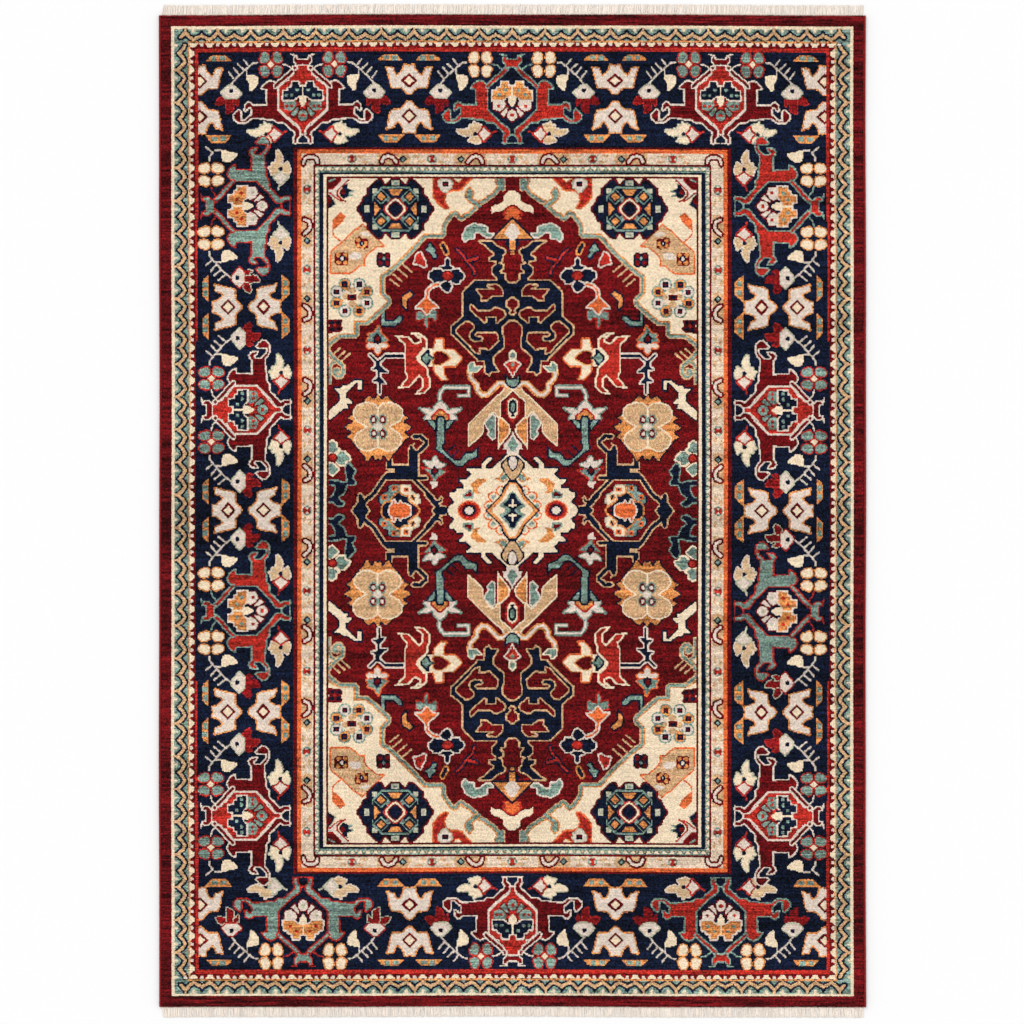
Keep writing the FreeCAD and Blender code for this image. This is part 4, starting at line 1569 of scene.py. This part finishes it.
def make_selvedge(side, sign, material):
    """Yarn wound round and round the cord of outer warps, a little aslant."""
    low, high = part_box("selvedge_wrap_" + side)
    cord_low, cord_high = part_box("selvedge_cord_" + side)
    wraps = 976
    rings = wraps * 4 + 1
    along = np.linspace(low.y, high.y, rings)
    inner_x = low.x if sign > 0 else high.x
    width = high.x - low.x
    middle_z = (low.z + high.z) / 2
    half_height = (high.z - low.z) / 2
    corners = 12
    angle = math.tau * (np.arange(corners) + 0.5) / corners
    reach = np.cos(angle)
    outline_x = inner_x + sign * width * np.where(reach > 0, 0.45 + 0.55 * reach, 0.45 + 0.45 * reach)
    outline_z = middle_z + half_height * np.sign(np.sin(angle)) * abs(np.sin(angle)) ** 0.7
    turn = along[:, None] / (high.y - low.y) * wraps + 0.5 * angle[None, :] / math.tau
    rib = 1 - 0.11 * abs(np.sin(math.pi * turn)) ** 2
    rib = rib - 0.03 * random.random(rings)[:, None]
    centre_x = inner_x + sign * width * 0.45
    points = np.empty((rings, corners, 3))
    points[..., 0] = centre_x + (outline_x - centre_x)[None, :] * rib
    points[..., 1] = along[:, None]
    points[..., 2] = middle_z + (outline_z - middle_z)[None, :] * rib
    bow(points)
    hole_x = (cord_low.x + cord_high.x) / 2
    hole_z = (cord_low.z + cord_high.z) / 2
    radius = (cord_high.z - cord_low.z) / 2 + 0.00003
    hole = np.empty((2, corners, 3))
    hole[..., 0] = hole_x + sign * radius * np.cos(angle)[None, :]
    hole[..., 1] = np.array([points[0, 0, 1], points[-1, 0, 1]])[:, None]
    hole[..., 2] = hole_z + radius * np.sin(angle)[None, :]
    number = np.arange(rings * corners).reshape(rings, corners)
    bore = number.size + np.arange(2 * corners).reshape(2, corners)
    after = np.roll(number, -1, axis=1)
    bore_after = np.roll(bore, -1, axis=1)
    quads = np.concatenate([
        np.stack([number[:-1], number[1:], after[1:], after[:-1]], axis=-1).reshape(-1, 4),
        np.stack([number[0], after[0], bore_after[0], bore[0]], axis=-1),
        np.stack([bore[0], bore_after[0], bore_after[1], bore[1]], axis=-1),
        np.stack([bore[1], bore_after[1], after[-1], number[-1]], axis=-1),
    ])
    if sign < 0:
        quads = quads[:, ::-1]
    shade = np.array([0.5, 0.1, 0.11])
    paint = np.tile(shade, (len(quads), 1))
    wound = 1 + 0.12 * np.repeat(random.normal(0, 1, rings), corners)[:(rings - 1) * corners]
    paint[:(rings - 1) * corners] *= wound[:, None]
    piece = make_mesh(
        "overcast_" + side, np.concatenate([points.reshape(-1, 3), hole.reshape(-1, 3)]), quads,
        colours=np.clip(paint, 0, 1),
    )
    return fit(piece, material, "overcast_yarn", "selvedge_wrap_" + side)


# The ends.

def tubes(name, paths, radii, sides, shades):
    """Many closed round tubes in one mesh. paths is strand, step, xyz; radii is strand, step."""
    strands, steps, _ = paths.shape
    tangent = np.gradient(paths, axis=1)
    tangent /= np.linalg.norm(tangent, axis=2, keepdims=True)
    across = np.cross(tangent, np.array([0, 0, 1.0]))
    across /= np.linalg.norm(across, axis=2, keepdims=True)
    upward = np.cross(across, tangent)
    angle = math.tau * np.arange(sides) / sides
    ring = (
        across[:, :, None, :] * np.cos(angle)[:, None] + upward[:, :, None, :] * np.sin(angle)[:, None]
    )
    points = paths[:, :, None, :] + radii[:, :, None, None] * ring
    number = np.arange(strands * steps * sides).reshape(strands, steps, sides)
    after = np.roll(number, -1, axis=2)
    quads = np.stack([number[:, :-1], number[:, 1:], after[:, 1:], after[:, :-1]], axis=-1).reshape(-1, 4)
    polygons = list(number[:, 0]) + list(number[:, -1, ::-1])
    paint = np.concatenate([
        np.repeat(shades, (steps - 1) * sides, axis=0), shades, shades,
    ])
    return make_mesh(name, points.reshape(-1, 3), quads, polygons, paint)


def make_web(end, material):
    """The strip of plain weave past the last row: warps pass over and under the wefts."""
    low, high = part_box("end_web_" + end)
    columns, rows = 1058, 5
    x = np.linspace(low.x, high.x, columns + 1)
    y = np.linspace(low.y, high.y, rows + 1)
    top = np.empty((rows + 1, columns + 1, 3))
    top[..., 0] = x[None, :]
    top[..., 1] = y[:, None]
    lift = (np.arange(rows + 1)[:, None] + np.arange(columns + 1)[None, :]) % 2
    top[..., 2] = high.z - 0.0005 * lift
    bottom = top.copy()
    bottom[..., 2] = low.z + 0.0003 * lift
    both = bow(np.concatenate([top.reshape(-1, 3), bottom.reshape(-1, 3)]))
    number = np.arange((rows + 1) * (columns + 1)).reshape(rows + 1, columns + 1)
    faces = np.stack([number[:-1, :-1], number[:-1, 1:], number[1:, 1:], number[1:, :-1]], axis=-1)
    quads = [faces.reshape(-1, 4), faces.reshape(-1, 4)[:, ::-1] + number.size]
    for a in (number[0], number[:, -1], number[-1, ::-1], number[::-1, 0]):
        start, stop = a[:-1], a[1:]
        quads.append(np.stack([start + number.size, stop + number.size, stop, start], axis=-1))
    quads = np.concatenate(quads)
    shades = np.array([0.96, 0.92, 0.87]) * (1 + 0.04 * random.normal(0, 1, (len(quads), 1)))
    piece = make_mesh("plain_weave_" + end, both, quads, colours=np.clip(shades, 0, 1))
    return fit(piece, material, "end_yarn", "end_web_" + end)


def make_stitch(end, material):
    """The locking stitch that holds the last rows, a thread that slants to and fro."""
    low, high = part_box("end_stitch_" + end)
    stitches = 420
    steps = stitches * 8 + 1
    t = np.arange(steps) / 8
    path = np.empty((1, steps, 3))
    path[0, :, 0] = np.linspace(low.x, high.x, steps)
    path[0, :, 1] = (low.y + high.y) / 2 + 0.0005 * np.sin(math.tau * t)
    path[0, :, 2] = low.z + 0.0002 + 0.0003 * abs(np.sin(math.pi * t))
    bow(path)
    radii = np.full((1, steps), 0.00048)
    piece = tubes("locking_stitch_" + end, path, radii, 6, np.array([[0.9, 0.86, 0.78]]))
    return fit(piece, material, "end_yarn", "end_stitch_" + end)


def fringe_layer(low, high, sign, count, height, plies, thickness):
    """Centre lines and radii of one layer of loose warp ends, each of one or more plies."""
    steps = 9
    left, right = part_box("end_web_top")
    start = np.linspace(left.x + 0.0015, right.x - 0.0015, count)
    start += random.uniform(-0.0009, 0.0009, count)
    near = low.y if sign > 0 else high.y
    length = (high.y - low.y) * random.uniform(0.9, 1.0, count)
    tufts = np.repeat(random.normal(0, 0.0012, count // 5 + 1), 5)[:count]
    slant = 0.0014 + tufts + random.normal(0, 0.0008, count)
    curl = random.normal(0, 0.0008, count)
    t = np.linspace(0, 1, steps)[None, :]
    centre = np.empty((count, steps, 3))
    centre[..., 0] = start[:, None] + slant[:, None] * (t - 0.2) + curl[:, None] * np.sin(math.pi * t)
    centre[..., 1] = near - sign * 0.003 + sign * (length[:, None] + 0.003) * t
    centre[..., 2] = height + 0.0014 * (1 - t) ** 3
    bow(centre)
    twist = math.tau * (2.2 * t + random.random((count, 1)))
    paths = []
    for ply in range(plies):
        path = centre.copy()
        offset = 0.0 if plies == 1 else 0.8 * thickness
        path[..., 0] += offset * np.cos(twist + math.pi * ply)
        path[..., 2] += 0.7 * offset * np.sin(twist + math.pi * ply)
        paths.append(path)
    radii = thickness * (1 - 0.35 * t ** 4) * np.ones((count, 1))
    shades = np.array([1.0, 0.955, 0.91]) * random.uniform(0.92, 1.02, (count, 1))
    return np.concatenate(paths), np.tile(radii, (plies, 1)), np.tile(shades, (plies, 1))


def make_fringe(end, sign, material):
    """Loose warp ends in two layers, the upper ones two-ply, all leaning a little one way."""
    low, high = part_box("fringe_" + end)
    under = fringe_layer(low, high, sign, 900, 0.0011, 1, 0.001)
    over = fringe_layer(low, high, sign, 520, 0.0019, 2, 0.00062)
    paths, radii, shades = [np.concatenate(pair) for pair in zip(under, over)]
    piece = tubes("fringe_strands_" + end, paths, radii, 5, np.clip(shades, 0, 1))
    return fit(piece, material, "end_yarn", "fringe_" + end)


# The stage.

def make_stage():
    """A plain floor, even light from the sky, a soft lamp, and the camera straight above."""
    size = 14.0
    mesh = bpy.data.meshes.new("floor")
    corners = [(-size, -size, 0), (size, -size, 0), (size, size, 0), (-size, size, 0)]
    mesh.from_pydata(corners, [], [(0, 1, 2, 3)])
    floor = bpy.data.objects.new("floor", mesh)
    floor.location.z = -0.0002
    bpy.context.scene.collection.objects.link(floor)
    mesh.materials.append(floor_material())

    world = bpy.data.worlds.new("sky")
    world.use_nodes = True
    background = world.node_tree.nodes["Background"]
    background.inputs["Color"].default_value = (1, 1, 1, 1)
    background.inputs["Strength"].default_value = 0.82
    bpy.context.scene.world = world

    lamp = bpy.data.lights.new("soft_lamp", "SUN")
    lamp.energy = 1.0
    lamp.angle = 0.7
    lamp_object = bpy.data.objects.new("soft_lamp", lamp)
    lamp_object.rotation_euler = (math.radians(-22), math.radians(-16), 0)
    bpy.context.scene.collection.objects.link(lamp_object)

    camera = bpy.data.cameras.new("camera")
    camera.sensor_width = 36
    camera.lens = 200
    knots_seen_across = 1024
    seen_width = knots_seen_across * KNOT_X
    distance = seen_width * camera.lens / camera.sensor_width
    camera.clip_end = 100
    camera_object = bpy.data.objects.new("camera", camera)
    camera_object.location = (-0.0011, -0.0024, PILE_HIGH + distance)
    bpy.context.scene.collection.objects.link(camera_object)
    bpy.context.scene.camera = camera_object
    bpy.context.scene.view_settings.view_transform = "Standard"


chart, zones = make_pile()
ground = make_ground(chart)
wool = yarn_material("overcast_wool", 0.85, 900, 0.85, 1.15, (2.5, 1, 1))
cotton = yarn_material("end_cotton", 0.9, 900, 0.9, 1.08, (1, 0.4, 1))
with_ground = list(zones)
for side, sign in (("left", -1), ("right", 1)):
    with_ground.append(make_selvedge(side, sign, wool))
for end, sign in (("top", 1), ("bottom", -1)):
    with_ground.append(make_web(end, cotton))
    with_ground.append(make_stitch(end, cotton))
    with_ground.append(make_fringe(end, sign, cotton))
twisted_cotton = cord_material()
for side in ("left", "right"):
    cord = frame["nodes"]["selvedge_cord_" + side]
    cord.data.materials.clear()
    cord.data.materials.append(twisted_cotton)
    with_ground.append(cord)
make_stage()
